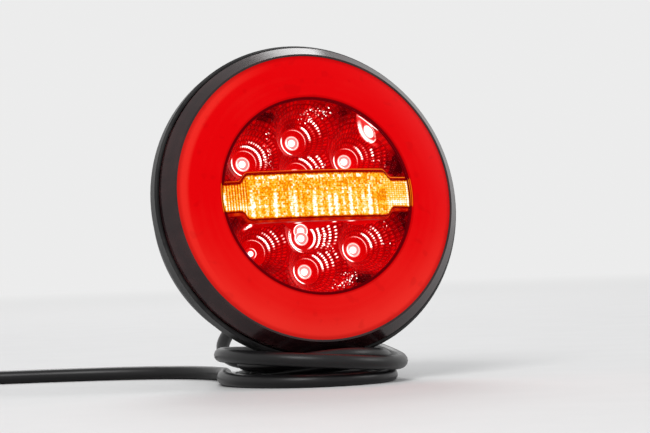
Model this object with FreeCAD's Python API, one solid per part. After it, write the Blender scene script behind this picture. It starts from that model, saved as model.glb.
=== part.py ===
import FreeCAD
import Part
import math
import os
from FreeCAD import Vector

# Round rear combination lamp for a trailer: a milky red light ring round a clear window
# with eight red reflector bowls and an amber bar across the middle. Millimetres.
#
# The lamp is built along its own axis: x to the right seen from the front, y up in the
# face, s forwards from the mounting face. seat() then leans it back on its coiled lead.
# Row frame: +Z up, front towards -Y, origin at the middle of the mounting face.

# Stance on the table
lean_angle = 10.5
stand_height = 4.822

# Housing
flange_radius = 70.0
flange_back = 25.4
flange_front = 33.4
flange_edge_round = 0.9
cup_front_inset = 4.0
cup_front_level = 23.8
cup_rear_inset = 7.4
rear_chamfer = 2.2
floor_thickness = 2.5
wall_thickness = 2.5
lip_thickness = 1.6
tongue_clearance = 0.3

# Mounting
pad_thickness = 1.5
pad_inset = 4.6
stud_spacing = 45.0
stud_radius = 2.5
stud_reach = 16.0
stud_tip_chamfer = 0.6
collar_radius = 3.2
collar_clearance = 0.1
stud_boss_radius = 6.5
stud_boss_height = 1.5
stud_head_flats = 8.0
stud_head_height = 3.0

# Front lenses
ring_inset = 7.1
ring_edge_level = 42.0
ring_rise = 3.4
ring_bulge = 0.8
ring_thickness = 2.0
ring_width = 18.7
window_step = 0.4
window_crown = 3.8
window_thickness = 2.0
skirt_lip_width = 0.9
skirt_lip_height = 0.25
skirt_foot_drop = 5.6
skirt_thickness = 2.0
skirt_tongue_depth = 3.0
seal_thickness = 1.2
seal_squeeze = 0.1

# Circuit board and light sources
board_level = 15.9
board_thickness = 1.6
board_inset = 9.0
screw_inset = 16.5
screw_count = 4
screw_first_angle = 37.5
screw_shank_radius = 1.4
screw_shank_length = 8.0
screw_head_radius = 2.6
screw_head_height = 1.7
screw_fit = 0.05
board_hole_clearance = 0.2
boss_radius = 3.6
red_led_size = 5.8
red_led_height = 0.9
dome_radius = 2.8
bar_led_count = 9
bar_led_margin = 7.4
ring_led_count = 24
ring_led_inset = 17.0
small_led_length = 3.5
small_led_width = 2.8
small_led_height = 0.8
chip_size = 6.0
chip_height = 1.6
chip_count = 3
chip_inset = 12.0
chip_first_angle = 90.0
resistor_length = 3.2
resistor_width = 1.6
resistor_height = 0.6
resistor_count = 14
resistor_inset = 11.5

# Red reflector bowls
top_bowl_inset = 15.2
side_bowl_inset = 7.0
side_bowl_drop = 9.0
near_bowl_gap = 4.5
bowl_mouth_radius = 12.3
bowl_throat_radius = 3.2
bowl_mouth_level = 33.0
bowl_lift = 0.3
bowl_rings = 6
bowl_riser = 0.35
bowl_wall = 1.0
plate_thickness = 1.2
reflector_wall = 0.7
reflector_rim_level = 42.4

# Amber bar
bar_half_height = 9.5
bar_end_half_height = 5.8
bar_end_length = 12.4
bar_shoulder_run = 4.5
bar_end_gap = 0.8
bar_back_level = 40.0
flute_count = 36
flute_bulge = 0.35
window_gap = 0.5
shaft_wall = 0.6
shaft_fit = 0.1
slot_fit = 0.15

# White light channel behind the ring
channel_gap = 0.3
channel_wall = 1.0
channel_floor = 1.2
channel_foot_inset = 9.6
channel_top_inset = 7.8
channel_top_gap = 0.5
led_window_radius = 2.7
screw_window_clearance = 0.6

# Lead
lead_radius = 3.1
grommet_drop = 30.0
grommet_flange_radius = 7.0
grommet_flange_height = 1.8
grommet_neck_radius = 5.0
grommet_collar_radius = 6.6
grommet_collar_reach = 1.2
grommet_tail_length = 19.0
grommet_tail_base = 5.4
grommet_tail_tip = 4.1
grommet_rib_count = 5
grommet_rib_depth = 0.7
pad_hole_clearance = 0.8
jacket_end_level = 7.0
core_count = 5
core_radius = 0.9
core_circle = 1.9
core_tip_radius = 0.55
core_tip_length = 7.0
core_reaches = (7.0, 17.0, 28.0, 38.0)
core_fan = 2.8
core_fan_shares = (0.0, 0.5, 1.1, 1.3)

# Coil of the lead under the lamp, counted in turns from the lamp's end; heights are above
# the table
coil_centre = (0.8, -25.3)
coil_radius = 39.5
coil_stretch = 1.10
upper_turn_pitch = 6.9
lower_turn_pitch = 6.7
layer_pitch = 6.85
upper_turns = 2.12
cross_turns = 0.5
lower_turns = 1.95
coil_flat = 0.5
coil_end_lift = 0.15
coil_start_fall = 2.4
coil_start_fall_turns = 0.14
first_turn_low = 7.4
first_turn_high = 13.6
first_turn_swell = 3.2
second_turn_arch = 3.4
arch_middle = 1.22
arch_half_span = 0.24
inner_dip = 1.2
coil_settle_turns = 0.25
coil_steps_per_turn = 4
table_width = 400.0
table_depth = 20.0

# Free stretches of the lead, points chosen by hand: across, back, height above the table
lead_out_points = [(-3.5, 41.5, 31.5), (-8.3, 55.5, 22.5), (-8.6, 70.5, 13.5),
                   (-1.7, 83.6, 7.0), (10.3, 92.6, 3.8), (24.9, 96.0, 3.1),
                   (39.6, 93.1, 3.1), (51.8, 84.6, 3.1), (59.5, 71.7, 3.1),
                   (61.6, 56.9, 3.1), (58.7, 42.0, 4.3), (52.8, 28.0, 7.0),
                   (46.5, 14.0, 10.5)]
lead_exit_run = 14.0
lead_join_run = 15.0
tail_points = [(-23.7, 25.9, 3.1), (-26.7, 42.6, 3.1), (-35.4, 58.3, 3.1),
               (-49.5, 71.0, 3.1), (-67.0, 80.7, 3.1), (-86.5, 88.6, 3.1),
               (-107.5, 95.0, 3.1), (-127.3, 103.4, 3.1)]
tail_join_run = 14.0

# Derived levels and radii, each inset taken from the edge that carries it
centre_height = flange_radius * math.cos(math.radians(lean_angle)) + stand_height
cup_front_radius = flange_radius - cup_front_inset
cup_rear_radius = flange_radius - cup_rear_inset
pad_radius = cup_rear_radius - pad_inset
ring_edge_radius = flange_radius - ring_inset
window_radius = ring_edge_radius - ring_width
board_radius = flange_radius - board_inset
screw_circle = flange_radius - screw_inset
ring_led_circle = flange_radius - ring_led_inset
resistor_circle = screw_circle - resistor_inset
chip_circle = resistor_circle - chip_inset
channel_outer_foot = flange_radius - channel_foot_inset
channel_outer_top = flange_radius - channel_top_inset
bar_end_radius = window_radius - bar_end_gap
bar_shoulder = bar_end_radius - bar_end_length
bar_led_pitch = 2 * (bar_end_radius - bar_led_margin) / (bar_led_count - 1)
top_bowl = window_radius - top_bowl_inset
side_bowl = bar_shoulder - side_bowl_inset
upper_bowls = [(0.0, top_bowl), (-side_bowl, top_bowl - side_bowl_drop),
               (side_bowl, top_bowl - side_bowl_drop), (0.0, bar_half_height + near_bowl_gap)]
floor_level = pad_thickness + floor_thickness
board_face = board_level + board_thickness
cavity_radius_rear = cup_rear_radius - wall_thickness
skirt_foot_level = ring_edge_level - skirt_foot_drop
skirt_foot_radius = flange_radius - lip_thickness - tongue_clearance
tongue_level = flange_front - skirt_tongue_depth
groove_level = tongue_level - seal_thickness
groove_outer_radius = skirt_foot_radius + tongue_clearance
tongue_inner_radius = skirt_foot_radius - skirt_thickness
groove_inner_radius = tongue_inner_radius - tongue_clearance
cavity_radius_front = groove_inner_radius - lip_thickness
window_edge_level = ring_edge_level + ring_rise - window_step
window_top = window_edge_level + window_crown
dome_sphere = (window_radius ** 2 + window_crown ** 2) / (2 * window_crown)
shaft_grow = shaft_fit + shaft_wall
slot_grow = shaft_grow + slot_fit
reflector_inner_radius = bar_end_radius + slot_grow
reflector_radius = reflector_inner_radius + reflector_wall
channel_inner_radius = reflector_radius + channel_gap
table_level = -centre_height
lower_centre = lead_radius - coil_flat
coil_turns = upper_turns + cross_turns + lower_turns
bowls = upper_bowls + [(x, -y) for x, y in upper_bowls]

os.makedirs("parts", exist_ok=True)


def seat(shape):
    """Turn a shape from the lamp's own axes to its leaning place in the row frame."""
    placed = shape.copy()
    placed.rotate(Vector(0, 0, 0), Vector(1, 0, 0), 90 - lean_angle)
    return placed


def seat_point(x, y, s):
    """Row-frame place of a point given in the lamp's own axes."""
    lean = math.radians(lean_angle)
    return Vector(x, y * math.sin(lean) - s * math.cos(lean),
                  y * math.cos(lean) + s * math.sin(lean))


def save(node, solids):
    """Write one node: a single solid, or a group of separate ones."""
    shape = solids[0] if len(solids) == 1 else Part.makeCompound(solids)
    shape.exportStep("parts/" + node + ".step")


def turned(outline):
    """Revolve an outline about the lamp's axis: (radius, level) corners, or three for an arc."""
    def corner(point):
        return Vector(point[0], 0, point[1])

    edges = []
    here = outline[0]
    for step in outline[1:]:
        if isinstance(step[0], tuple):
            middle, end = step
            edges.append(Part.Arc(corner(here), corner(middle), corner(end)).toShape())
        else:
            end = step
            edges.append(Part.LineSegment(corner(here), corner(end)).toShape())
        here = end
    if math.dist(here, outline[0]) > 1e-6:
        edges.append(Part.LineSegment(corner(here), corner(outline[0])).toShape())
    face = Part.Face(Part.Wire(edges))
    return face.revolve(Vector(0, 0, 0), Vector(0, 0, 1), 360)


def rod(radius, low, high, x=0.0, y=0.0):
    """Round bar along the lamp's axis."""
    return Part.makeCylinder(radius, high - low, Vector(x, y, low))


def ring(inner, outer, low, high):
    """Plain band round the lamp's axis."""
    return rod(outer, low, high).cut(rod(inner, low - 1, high + 1))


def block(length, width, low, high, x=0.0, y=0.0, turn=0.0):
    """Rectangular piece centred on x, y and turned about its own axis."""
    corner = Vector(-length / 2, -width / 2, low)
    shape = Part.makeBox(length, width, high - low, corner)
    shape.rotate(Vector(0, 0, 0), Vector(0, 0, 1), turn)
    shape.translate(Vector(x, y, 0))
    return shape


def hexagon(flats, low, high, x, y):
    """Hexagonal head, flats given across."""
    reach = flats / math.sqrt(3)
    corners = [Vector(x + reach * math.cos(math.radians(60 * k)),
                      y + reach * math.sin(math.radians(60 * k)), low) for k in range(7)]
    return Part.Face(Part.makePolygon(corners)).extrude(Vector(0, 0, high - low))


def around(radius, count, first=0.0):
    """Places and turns of equal pieces on a circle."""
    for k in range(count):
        angle = first + 360.0 * k / count
        spoke = math.radians(angle)
        yield radius * math.cos(spoke), radius * math.sin(spoke), angle


def fused(shapes):
    """One solid from touching or overlapping ones."""
    return shapes[0].multiFuse(shapes[1:]).removeSplitter()


# Front lenses


def ring_outline():
    """Milky ring: convex face, falling from the window to its outer edge."""
    inner_edge = ring_edge_level + ring_rise
    middle_radius = (window_radius + ring_edge_radius) / 2
    middle_level = ring_edge_level + ring_rise / 2 + ring_bulge
    return [(window_radius, inner_edge),
            ((middle_radius, middle_level), (ring_edge_radius, ring_edge_level)),
            (ring_edge_radius, ring_edge_level - ring_thickness),
            ((middle_radius, middle_level - ring_thickness),
             (window_radius, inner_edge - ring_thickness))]


def window_level(radius, depth=0.0):
    """Level of the crowned window's face, or of the same face a depth below it."""
    return window_top - depth - dome_sphere + math.sqrt(dome_sphere ** 2 - radius ** 2)


def under_window(radius, low, depth):
    """Everything behind the window's crown, a depth below its face, out to a radius."""
    half = radius / 2
    return turned([(0, low), (radius, low), (radius, window_level(radius, depth)),
                   ((half, window_level(half, depth)), (0, window_level(0, depth)))])


def make_ring_lens():
    return turned(ring_outline())


def make_window():
    half = window_radius / 2
    return turned([(0, window_level(0, window_thickness)), (0, window_level(0)),
                   ((half, window_level(half)), (window_radius, window_level(window_radius))),
                   (window_radius, window_level(window_radius, window_thickness)),
                   ((half, window_level(half, window_thickness)),
                    (0, window_level(0, window_thickness)))])


def make_skirt():
    """Dark outer slope with a lip round the ring and a tongue into the housing."""
    lip_radius = ring_edge_radius + skirt_lip_width
    lip_level = ring_edge_level + skirt_lip_height
    run = skirt_foot_radius - lip_radius
    fall = lip_level - skirt_foot_level
    slope = math.hypot(run, fall)
    inner_run = skirt_thickness * fall / slope
    inner_fall = skirt_thickness * run / slope

    def inner_level(radius):
        return lip_level - inner_fall - (radius - lip_radius + inner_run) * fall / run

    return turned([(ring_edge_radius, inner_level(ring_edge_radius)),
                   (ring_edge_radius, lip_level), (lip_radius, lip_level),
                   (skirt_foot_radius, skirt_foot_level), (skirt_foot_radius, tongue_level),
                   (tongue_inner_radius, tongue_level),
                   (tongue_inner_radius, inner_level(tongue_inner_radius))])


def make_seal():
    return ring(tongue_inner_radius - seal_squeeze, skirt_foot_radius + seal_squeeze,
                groove_level, tongue_level)


# Housing and mounting


def stud_places():
    return [(-stud_spacing / 2, 0.0), (stud_spacing / 2, 0.0)]


def screw_places():
    return around(screw_circle, screw_count, screw_first_angle)


def make_housing():
    shell = turned([(0, pad_thickness), (cup_rear_radius - rear_chamfer, pad_thickness),
                    (cup_rear_radius, pad_thickness + rear_chamfer),
                    (cup_front_radius, cup_front_level),
                    (flange_radius - flange_edge_round, flange_back),
                    (flange_radius, flange_back + flange_edge_round),
                    (flange_radius, flange_front - flange_edge_round),
                    (flange_radius - flange_edge_round, flange_front),
                    (0, flange_front)])
    cavity = turned([(0, floor_level), (cavity_radius_rear, floor_level),
                     (cavity_radius_front, cup_front_level),
                     (cavity_radius_front, flange_front + 1), (0, flange_front + 1)])
    groove = ring(groove_inner_radius, groove_outer_radius, groove_level, flange_front + 1)
    bosses = [rod(boss_radius, pad_thickness + 1, board_level, x, y)
              for x, y, _ in screw_places()]
    bosses += [rod(stud_boss_radius, pad_thickness + 1, floor_level + stud_boss_height, x, y)
               for x, y in stud_places()]
    holes = [rod(screw_shank_radius + screw_fit, board_face - screw_shank_length - 1,
                 board_level + 1, x, y) for x, y, _ in screw_places()]
    holes += [rod(collar_radius + collar_clearance, 0, floor_level + stud_boss_height + 1, x, y)
              for x, y in stud_places()]
    holes.append(rod(grommet_neck_radius, 0, floor_level + 1, 0, -grommet_drop))
    shell = shell.cut(cavity).cut(groove)
    return fused([shell] + bosses).cut(Part.makeCompound(holes))


def make_pad():
    """Rubber pad behind the housing, open round the studs and the lead."""
    pad = rod(pad_radius, 0, pad_thickness)
    holes = [rod(collar_radius + collar_clearance, -1, pad_thickness + 1, x, y)
             for x, y in stud_places()]
    holes.append(rod(grommet_collar_radius + pad_hole_clearance, -1, pad_thickness + 1,
                     0, -grommet_drop))
    return pad.cut(Part.makeCompound(holes))


def make_stud(x, y):
    """Threaded stud with a collar through the floor and a hexagon head inside."""
    seat_level = floor_level + stud_boss_height
    thread = rod(stud_radius, -stud_reach, 0, x, y)
    tip = max(thread.Edges, key=lambda edge: -edge.CenterOfMass.z)
    thread = thread.makeChamfer(stud_tip_chamfer, [tip])
    collar = rod(collar_radius, 0, seat_level, x, y)
    head = hexagon(stud_head_flats, seat_level, seat_level + stud_head_height, x, y)
    return fused([thread, collar, head])


# Board and light sources


def make_board():
    board = rod(board_radius, board_level, board_face)
    holes = [rod(screw_shank_radius + board_hole_clearance, board_level - 1, board_face + 1, x, y)
             for x, y, _ in screw_places()]
    return board.cut(Part.makeCompound(holes))


def make_screw(x, y):
    shank = rod(screw_shank_radius, board_face - screw_shank_length, board_face, x, y)
    head = rod(screw_head_radius, board_face, board_face + screw_head_height, x, y)
    return fused([shank, head])


def make_dome(x, y):
    """Round lens of one red light source, on its square base."""
    ball = Part.makeSphere(dome_radius, Vector(x, y, board_face + red_led_height))
    keep = rod(dome_radius + 1, board_face + red_led_height,
               board_face + red_led_height + dome_radius + 1, x, y)
    return ball.common(keep)


def make_red_bases():
    return [block(red_led_size, red_led_size, board_face, board_face + red_led_height, x, y)
            for x, y in bowls]


def make_bar_leds():
    first = -bar_led_pitch * (bar_led_count - 1) / 2
    return [block(small_led_length, small_led_width, board_face,
                  board_face + small_led_height, first + bar_led_pitch * k, 0.0)
            for k in range(bar_led_count)]


def make_ring_leds():
    return [block(small_led_length, small_led_width, board_face,
                  board_face + small_led_height, x, y, angle)
            for x, y, angle in around(ring_led_circle, ring_led_count)]


def make_chips():
    return [block(chip_size, chip_size, board_level - chip_height, board_level, x, y, angle)
            for x, y, angle in around(chip_circle, chip_count, chip_first_angle)]


def make_resistors():
    return [block(resistor_length, resistor_width, board_level - resistor_height, board_level,
                  x, y, angle) for x, y, angle in around(resistor_circle, resistor_count)]


# Reflector bowls


def bowl_rows():
    """Radius and level of each ring of a parabolic bowl, from throat to mouth."""
    throat = board_face + red_led_height + bowl_lift
    span = bowl_mouth_radius ** 2 - bowl_throat_radius ** 2
    rows = []
    for k in range(bowl_rings + 1):
        share = k / bowl_rings
        radius = bowl_throat_radius + (bowl_mouth_radius - bowl_throat_radius) * share
        rise = (radius ** 2 - bowl_throat_radius ** 2) / span
        rows.append((radius, throat + (bowl_mouth_level - throat) * rise))
    return rows


def bowl_hollow():
    """Space inside one bowl: stepped conical rings like a staircase of mirrors."""
    rows = bowl_rows()
    outline = [(0, rows[0][1] - 1), (rows[0][0], rows[0][1] - 1), rows[0]]
    for radius, level in rows[1:]:
        outline += [(radius, level - bowl_riser), (radius, level)]
    outline += [(bowl_mouth_radius, bowl_mouth_level + 1), (0, bowl_mouth_level + 1)]
    return turned(outline)


def bowl_shell():
    """Outside of one bowl, a wall thickness away from its rings."""
    rows = bowl_rows()
    outline = [(0, rows[0][1])]
    outline += [(radius + bowl_wall, level) for radius, level in rows]
    outline += [(0, bowl_mouth_level)]
    return turned(outline)


def moved(shape, x, y):
    copy = shape.copy()
    copy.translate(Vector(x, y, 0))
    return copy


def make_reflector():
    plate = rod(reflector_radius, bowl_mouth_level - plate_thickness, bowl_mouth_level)
    wall = ring(reflector_inner_radius, reflector_radius, board_face, reflector_rim_level)
    shells = [moved(bowl_shell(), x, y) for x, y in bowls]
    body = fused([plate, wall] + shells)
    for x, y in bowls:
        body = body.cut(moved(bowl_hollow(), x, y))
    slot = bar_prism(slot_grow, board_face - 1, reflector_rim_level + 1)
    return body.cut(slot.common(rod(reflector_inner_radius, 0, reflector_rim_level + 2)))


# Amber bar


def bar_prism(grow, low, high):
    """Bar outline, wide in the middle with narrow ends, widened by grow and extruded."""
    tall = bar_half_height + grow
    short = bar_end_half_height + grow
    end_radius = bar_end_radius + grow
    end_x = math.sqrt(end_radius ** 2 - short ** 2)
    half_run = bar_shoulder_run / 2
    half_fall = (tall - short) / 2
    bend = (half_run ** 2 + half_fall ** 2) / (2 * half_fall)
    half_turn = math.asin(half_run / bend) / 2
    near_x = bend * math.sin(half_turn)
    near_y = bend * (1 - math.cos(half_turn))

    def at(x, y, across, up):
        return Vector(x * across, y * up, low)

    def shoulder(across, up):
        """S-shaped step from the wide middle to the narrow end."""
        start = at(bar_shoulder, tall, across, up)
        middle = at(bar_shoulder + half_run, tall - half_fall, across, up)
        end = at(bar_shoulder + bar_shoulder_run, short, across, up)
        first = at(bar_shoulder + near_x, tall - near_y, across, up)
        second = at(bar_shoulder + bar_shoulder_run - near_x, short + near_y, across, up)
        return [Part.Arc(start, first, middle).toShape(), Part.Arc(middle, second, end).toShape(),
                Part.LineSegment(end, at(end_x, short, across, up)).toShape()]

    edges = shoulder(1, 1) + shoulder(1, -1) + shoulder(-1, 1) + shoulder(-1, -1)
    for across in (1, -1):
        edges.append(Part.Arc(at(end_x, short, across, 1), at(end_radius, 0, across, 1),
                              at(end_x, short, across, -1)).toShape())
    for up in (1, -1):
        edges.append(Part.LineSegment(at(bar_shoulder, tall, -1, up),
                                      at(bar_shoulder, tall, 1, up)).toShape())
    face = Part.Face(Part.Wire(Part.__sortEdges__(edges)))
    return face.extrude(Vector(0, 0, high - low))


def fluted_body():
    """Body whose front is a row of upright flutes that follow the window's crown."""
    reach = bar_end_radius + 1
    pitch = 2 * reach / flute_count
    depth = window_thickness + window_gap + flute_bulge
    deep = bar_half_height * 2

    def crest(x):
        return Vector(x, -deep, window_level(min(abs(x), window_radius), depth))

    edges = []
    for k in range(flute_count):
        left = crest(-reach + pitch * k)
        right = crest(-reach + pitch * (k + 1))
        top = (left + right) * 0.5 + Vector(0, 0, flute_bulge)
        edges.append(Part.Arc(left, top, right).toShape())
    low_left = Vector(-reach, -deep, bar_back_level)
    low_right = Vector(reach, -deep, bar_back_level)
    edges.append(Part.LineSegment(crest(reach), low_right).toShape())
    edges.append(Part.LineSegment(low_right, low_left).toShape())
    edges.append(Part.LineSegment(low_left, crest(-reach)).toShape())
    return Part.Face(Part.Wire(edges)).extrude(Vector(0, 2 * deep, 0))


def make_bar_lens():
    return bar_prism(0, bar_back_level, window_top).common(fluted_body())


def make_bar_shaft():
    """Thin-walled shaft from the board to the bar's edge; its rim frames the bar."""
    tube = bar_prism(shaft_grow, board_face, window_top)
    tube = tube.cut(bar_prism(shaft_fit, board_face - 1, window_top + 1))
    return tube.common(under_window(reflector_inner_radius, board_face,
                                    window_thickness + window_gap))


# Light channel behind the ring


def make_channel():
    inner = channel_inner_radius
    inner_top = ring_edge_level + ring_rise - ring_thickness - channel_top_gap
    outer_top = ring_edge_level - ring_thickness - channel_top_gap
    body = turned([(inner, board_face), (channel_outer_foot, board_face),
                   (channel_outer_top, outer_top), (channel_outer_top - channel_wall, outer_top),
                   (channel_outer_foot - channel_wall, board_face + channel_floor),
                   (inner + channel_wall, board_face + channel_floor),
                   (inner + channel_wall, inner_top), (inner, inner_top)])
    high = board_face + channel_floor + 1
    holes = [rod(led_window_radius, board_face - 1, high, x, y)
             for x, y, _ in around(ring_led_circle, ring_led_count)]
    holes += [rod(screw_head_radius + screw_window_clearance, board_face - 1, high, x, y)
              for x, y, _ in screw_places()]
    return body.cut(Part.makeCompound(holes))


# Lead: grommet, entry and inner cores


def make_grommet():
    """Rubber grommet gripped by the floor, with a ribbed tapering tail outside."""
    collar_level = -grommet_collar_reach
    tip_level = collar_level - grommet_tail_length
    outline = [(lead_radius, floor_level + grommet_flange_height),
               (grommet_flange_radius, floor_level + grommet_flange_height),
               (grommet_flange_radius, floor_level), (grommet_neck_radius, floor_level),
               (grommet_neck_radius, pad_thickness), (grommet_collar_radius, pad_thickness),
               (grommet_collar_radius, collar_level)]
    rib = grommet_tail_length / (2 * grommet_rib_count)
    for k in range(2 * grommet_rib_count):
        drop = grommet_rib_depth if k % 2 else 0.0
        for share in (k, k + 1):
            taper = (grommet_tail_base - grommet_tail_tip) * share / (2 * grommet_rib_count)
            outline.append((grommet_tail_base - taper - drop, collar_level - rib * share))
    outline.append((lead_radius, tip_level))
    return moved(turned(outline), 0, -grommet_drop)


def grommet_tip():
    return -grommet_collar_reach - grommet_tail_length


def make_entry():
    return rod(lead_radius, grommet_tip(), jacket_end_level, 0, -grommet_drop)


def make_inner_cores():
    return [rod(core_radius, jacket_end_level, board_level, x, y - grommet_drop)
            for x, y, _ in around(core_circle, core_count, 90.0)]


# Lead: free stretches as straight runs joined by tangent arcs


def tube(points, radius, name):
    """Tube along a route of points, each bend as wide as its two runs allow."""
    edges = []
    here = points[0]
    radii = []
    for before, corner, after in zip(points, points[1:], points[2:]):
        arrive = (corner - before).normalize()
        leave = (after - corner).normalize()
        turn = arrive.getAngle(leave)
        cut = 0.45 * min((corner - before).Length, (after - corner).Length)
        bend = cut / math.tan(turn / 2)
        start = corner - arrive * cut
        end = corner + leave * cut
        centre = corner + (leave - arrive).normalize() * (bend / math.cos(turn / 2))
        middle = centre + (corner - centre).normalize() * bend
        edges.append(Part.LineSegment(here, start).toShape())
        edges.append(Part.Arc(start, middle, end).toShape())
        here = end
        radii.append(bend)
    edges.append(Part.LineSegment(here, points[-1]).toShape())
    path = Part.Wire(edges)
    solid = swept(path, points[0], points[1] - points[0], radius)
    share = solid.Volume / (math.pi * radius ** 2 * path.Length)
    print(name, "length", round(path.Length, 1), "tightest bend",
          round(min(radii), 1), "volume share", round(share, 4))
    return solid


def swept(path, start, direction, radius):
    """Round bar swept along a path that starts at a point."""
    section = Part.Wire(Part.Circle(start, direction, radius).toShape())
    solid = path.makePipeShell([section], True, False)
    return solid if solid.Volume > 0 else solid.reversed()


# Lead: coil


def coil_radius_at(turns):
    """Distance of the centre line from the coil's middle."""
    if turns <= upper_turns:
        swell = first_turn_swell * swing(turns) if turns < 1 else 0.0
        return coil_radius - upper_turn_pitch * turns + swell
    inner_radius = coil_radius - upper_turn_pitch * upper_turns
    below = turns - upper_turns - cross_turns
    if below <= 0:
        return inner_radius - inner_dip * math.sin(math.pi * (1 + below / cross_turns))
    return inner_radius + lower_turn_pitch * below


def coil_height_at(turns):
    """Height of the centre line above the table."""
    upper = lower_centre + layer_pitch
    if turns <= upper_turns:
        valley = first_turn_low if turns < 0.5 else upper
        climb = swing(turns) if turns < 1 else 0.0
        off_arch = min(1.0, abs(turns - arch_middle) / arch_half_span)
        fall = max(0.0, 1 - turns / coil_start_fall_turns)
        return (valley + (first_turn_high - valley) * climb + coil_start_fall * fall ** 2
                + second_turn_arch * swing((1 - off_arch) / 2))
    share = (turns - upper_turns) / cross_turns
    if share <= 1:
        return upper - layer_pitch * swing(share / 2)
    settle = (turns - coil_turns) / coil_settle_turns + 1
    return lower_centre + (coil_flat + coil_end_lift) * max(0.0, settle)


def swing(turns):
    """Smooth rise from nought to one in half a turn, and back in the next half."""
    return (1 - math.cos(2 * math.pi * turns)) / 2


def coil_point(turns):
    """Centre line of the coil after some turns, from the lamp's end to the tail's end."""
    radius = coil_radius_at(turns)
    angle = -2 * math.pi * turns
    return Vector(coil_centre[0] + radius * math.cos(angle),
                  coil_centre[1] + coil_stretch * radius * math.sin(angle),
                  table_level + coil_height_at(turns))


def coil_end(turns):
    """Point and direction of travel on the coil's centre line."""
    step = 0.01
    ahead = coil_point(turns + step) - coil_point(turns - step)
    return coil_point(turns), ahead.normalize()


def biarc(start, leave, end, arrive):
    """Two arcs that join two points with given directions, tangent all the way."""
    chord = end - start
    both = leave + arrive
    spread = 2 * (1 - leave.dot(arrive))
    along = chord.dot(both)
    reach = (math.sqrt(along ** 2 + spread * chord.dot(chord)) - along) / spread
    joint = (start + end + (leave - arrive) * reach) * 0.5
    arcs = []
    for first, second, direction in ((start, joint, leave), (end, joint, arrive * -1)):
        span = second - first
        side = span - direction * span.dot(direction)
        bend = span.dot(span) / (2 * side.Length)
        centre = first + side.normalize() * bend
        middle = centre + ((first + second) * 0.5 - centre).normalize() * bend
        arcs.append((first, middle, second))
    (_, middle_a, _), (_, middle_b, _) = arcs
    return [Part.Arc(start, middle_a, joint).toShape(), Part.Arc(joint, middle_b, end).toShape()]


def make_coil():
    count = math.ceil(coil_turns * coil_steps_per_turn)
    stations = [coil_turns * k / count for k in range(count + 1)]
    straight = 2 * lead_radius
    start, leave = coil_end(stations[0])
    edges = [Part.LineSegment(start - leave * straight, start).toShape()]
    for first, second in zip(stations, stations[1:]):
        here, direction = coil_end(first)
        there, next_direction = coil_end(second)
        edges += biarc(here, direction, there, next_direction)
    end, arrive = coil_end(stations[-1])
    edges.append(Part.LineSegment(end, end + arrive * straight).toShape())
    path = Part.Wire(edges)
    solid = swept(path, start - leave * straight, leave, lead_radius)
    share = solid.Volume / (math.pi * lead_radius ** 2 * path.Length)
    print("coil length", round(path.Length, 1), "turns", round(coil_turns, 2),
          "least gap", round(self_gap(path), 2), "volume share", round(share, 4))
    corner = Vector(-table_width / 2, -table_width / 2, table_level - table_depth)
    return solid.cut(Part.makeBox(table_width, table_width, table_depth, corner))


def self_gap(path):
    """Least clear gap between two turns, measured on points along the centre line."""
    spacing = 1.5
    points = path.discretize(Distance=spacing)
    skip = int(6 * lead_radius / spacing)
    least = min(one.distanceToPoint(other) for k, one in enumerate(points)
                for other in points[k + skip:])
    return least - 2 * lead_radius


# Lead: routes and the bare end


def above_table(point):
    return Vector(point[0], point[1], table_level + point[2])


def lead_out_route():
    start = seat_point(0, -grommet_drop, grommet_tip())
    outwards = (start - seat_point(0, -grommet_drop, 0)).normalize()
    join, leave = coil_end(0.0)
    end = join - leave * (2 * lead_radius)
    return ([start, start + outwards * lead_exit_run] + [above_table(p) for p in lead_out_points]
            + [end - leave * lead_join_run, end])


def tail_route():
    join, arrive = coil_end(coil_turns)
    start = join + arrive * (2 * lead_radius)
    return [start, start + arrive * tail_join_run] + [above_table(p) for p in tail_points]


def core_routes():
    """Each core leaves the jacket's end, fans out and comes down onto the table."""
    route = tail_route()
    end = route[-1]
    along = (route[-1] - route[-2]).normalize()
    across = along.cross(Vector(0, 0, 1)).normalize()
    up = across.cross(along).normalize()
    routes = []
    lying = core_radius + table_level
    for x, y, _ in around(core_circle, core_count, 90.0):
        start = end + across * x + up * y
        points = [start]
        heights = (start.z, (start.z + lying) / 2, lying, lying)
        for reach, share, height in zip(core_reaches, core_fan_shares, heights):
            point = end + along * reach + across * (x + core_fan * x * share)
            point.z = height
            points.append(point)
        routes.append(points)
    return routes


def make_cores():
    covers = []
    tips = []
    for k, route in enumerate(core_routes()):
        covers.append(tube(route, core_radius, "core " + str(k + 1)))
        along = (route[-1] - route[-2]).normalize()
        tips.append(Part.makeCylinder(core_tip_radius, core_tip_length, route[-1], along))
    return covers, tips


# Write every node

save("rear_housing", [seat(make_housing())])
save("mounting_pad", [seat(make_pad())])
save("mounting_studs", [seat(make_stud(x, y)) for x, y in stud_places()])
save("ring_lens", [seat(make_ring_lens())])
save("window_lens", [seat(make_window())])
save("lens_skirt", [seat(make_skirt())])
save("lens_seal", [seat(make_seal())])
save("main_board", [seat(make_board())])
save("board_screws", [seat(make_screw(x, y)) for x, y, _ in screw_places()])
save("red_leds", [seat(shape) for shape in make_red_bases()])
save("red_led_domes", [seat(make_dome(x, y)) for x, y in bowls])
save("amber_leds", [seat(shape) for shape in make_bar_leds()])
save("ring_leds", [seat(shape) for shape in make_ring_leds()])
save("driver_chips", [seat(shape) for shape in make_chips()])
save("board_resistors", [seat(shape) for shape in make_resistors()])
save("bowl_reflector", [seat(make_reflector())])
save("amber_lens", [seat(make_bar_lens())])
save("amber_light_shaft", [seat(make_bar_shaft())])
save("ring_light_channel", [seat(make_channel())])
save("cable_grommet", [seat(make_grommet())])
save("cable_entry", [seat(make_entry())])
save("inner_cores", [seat(shape) for shape in make_inner_cores()])
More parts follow.
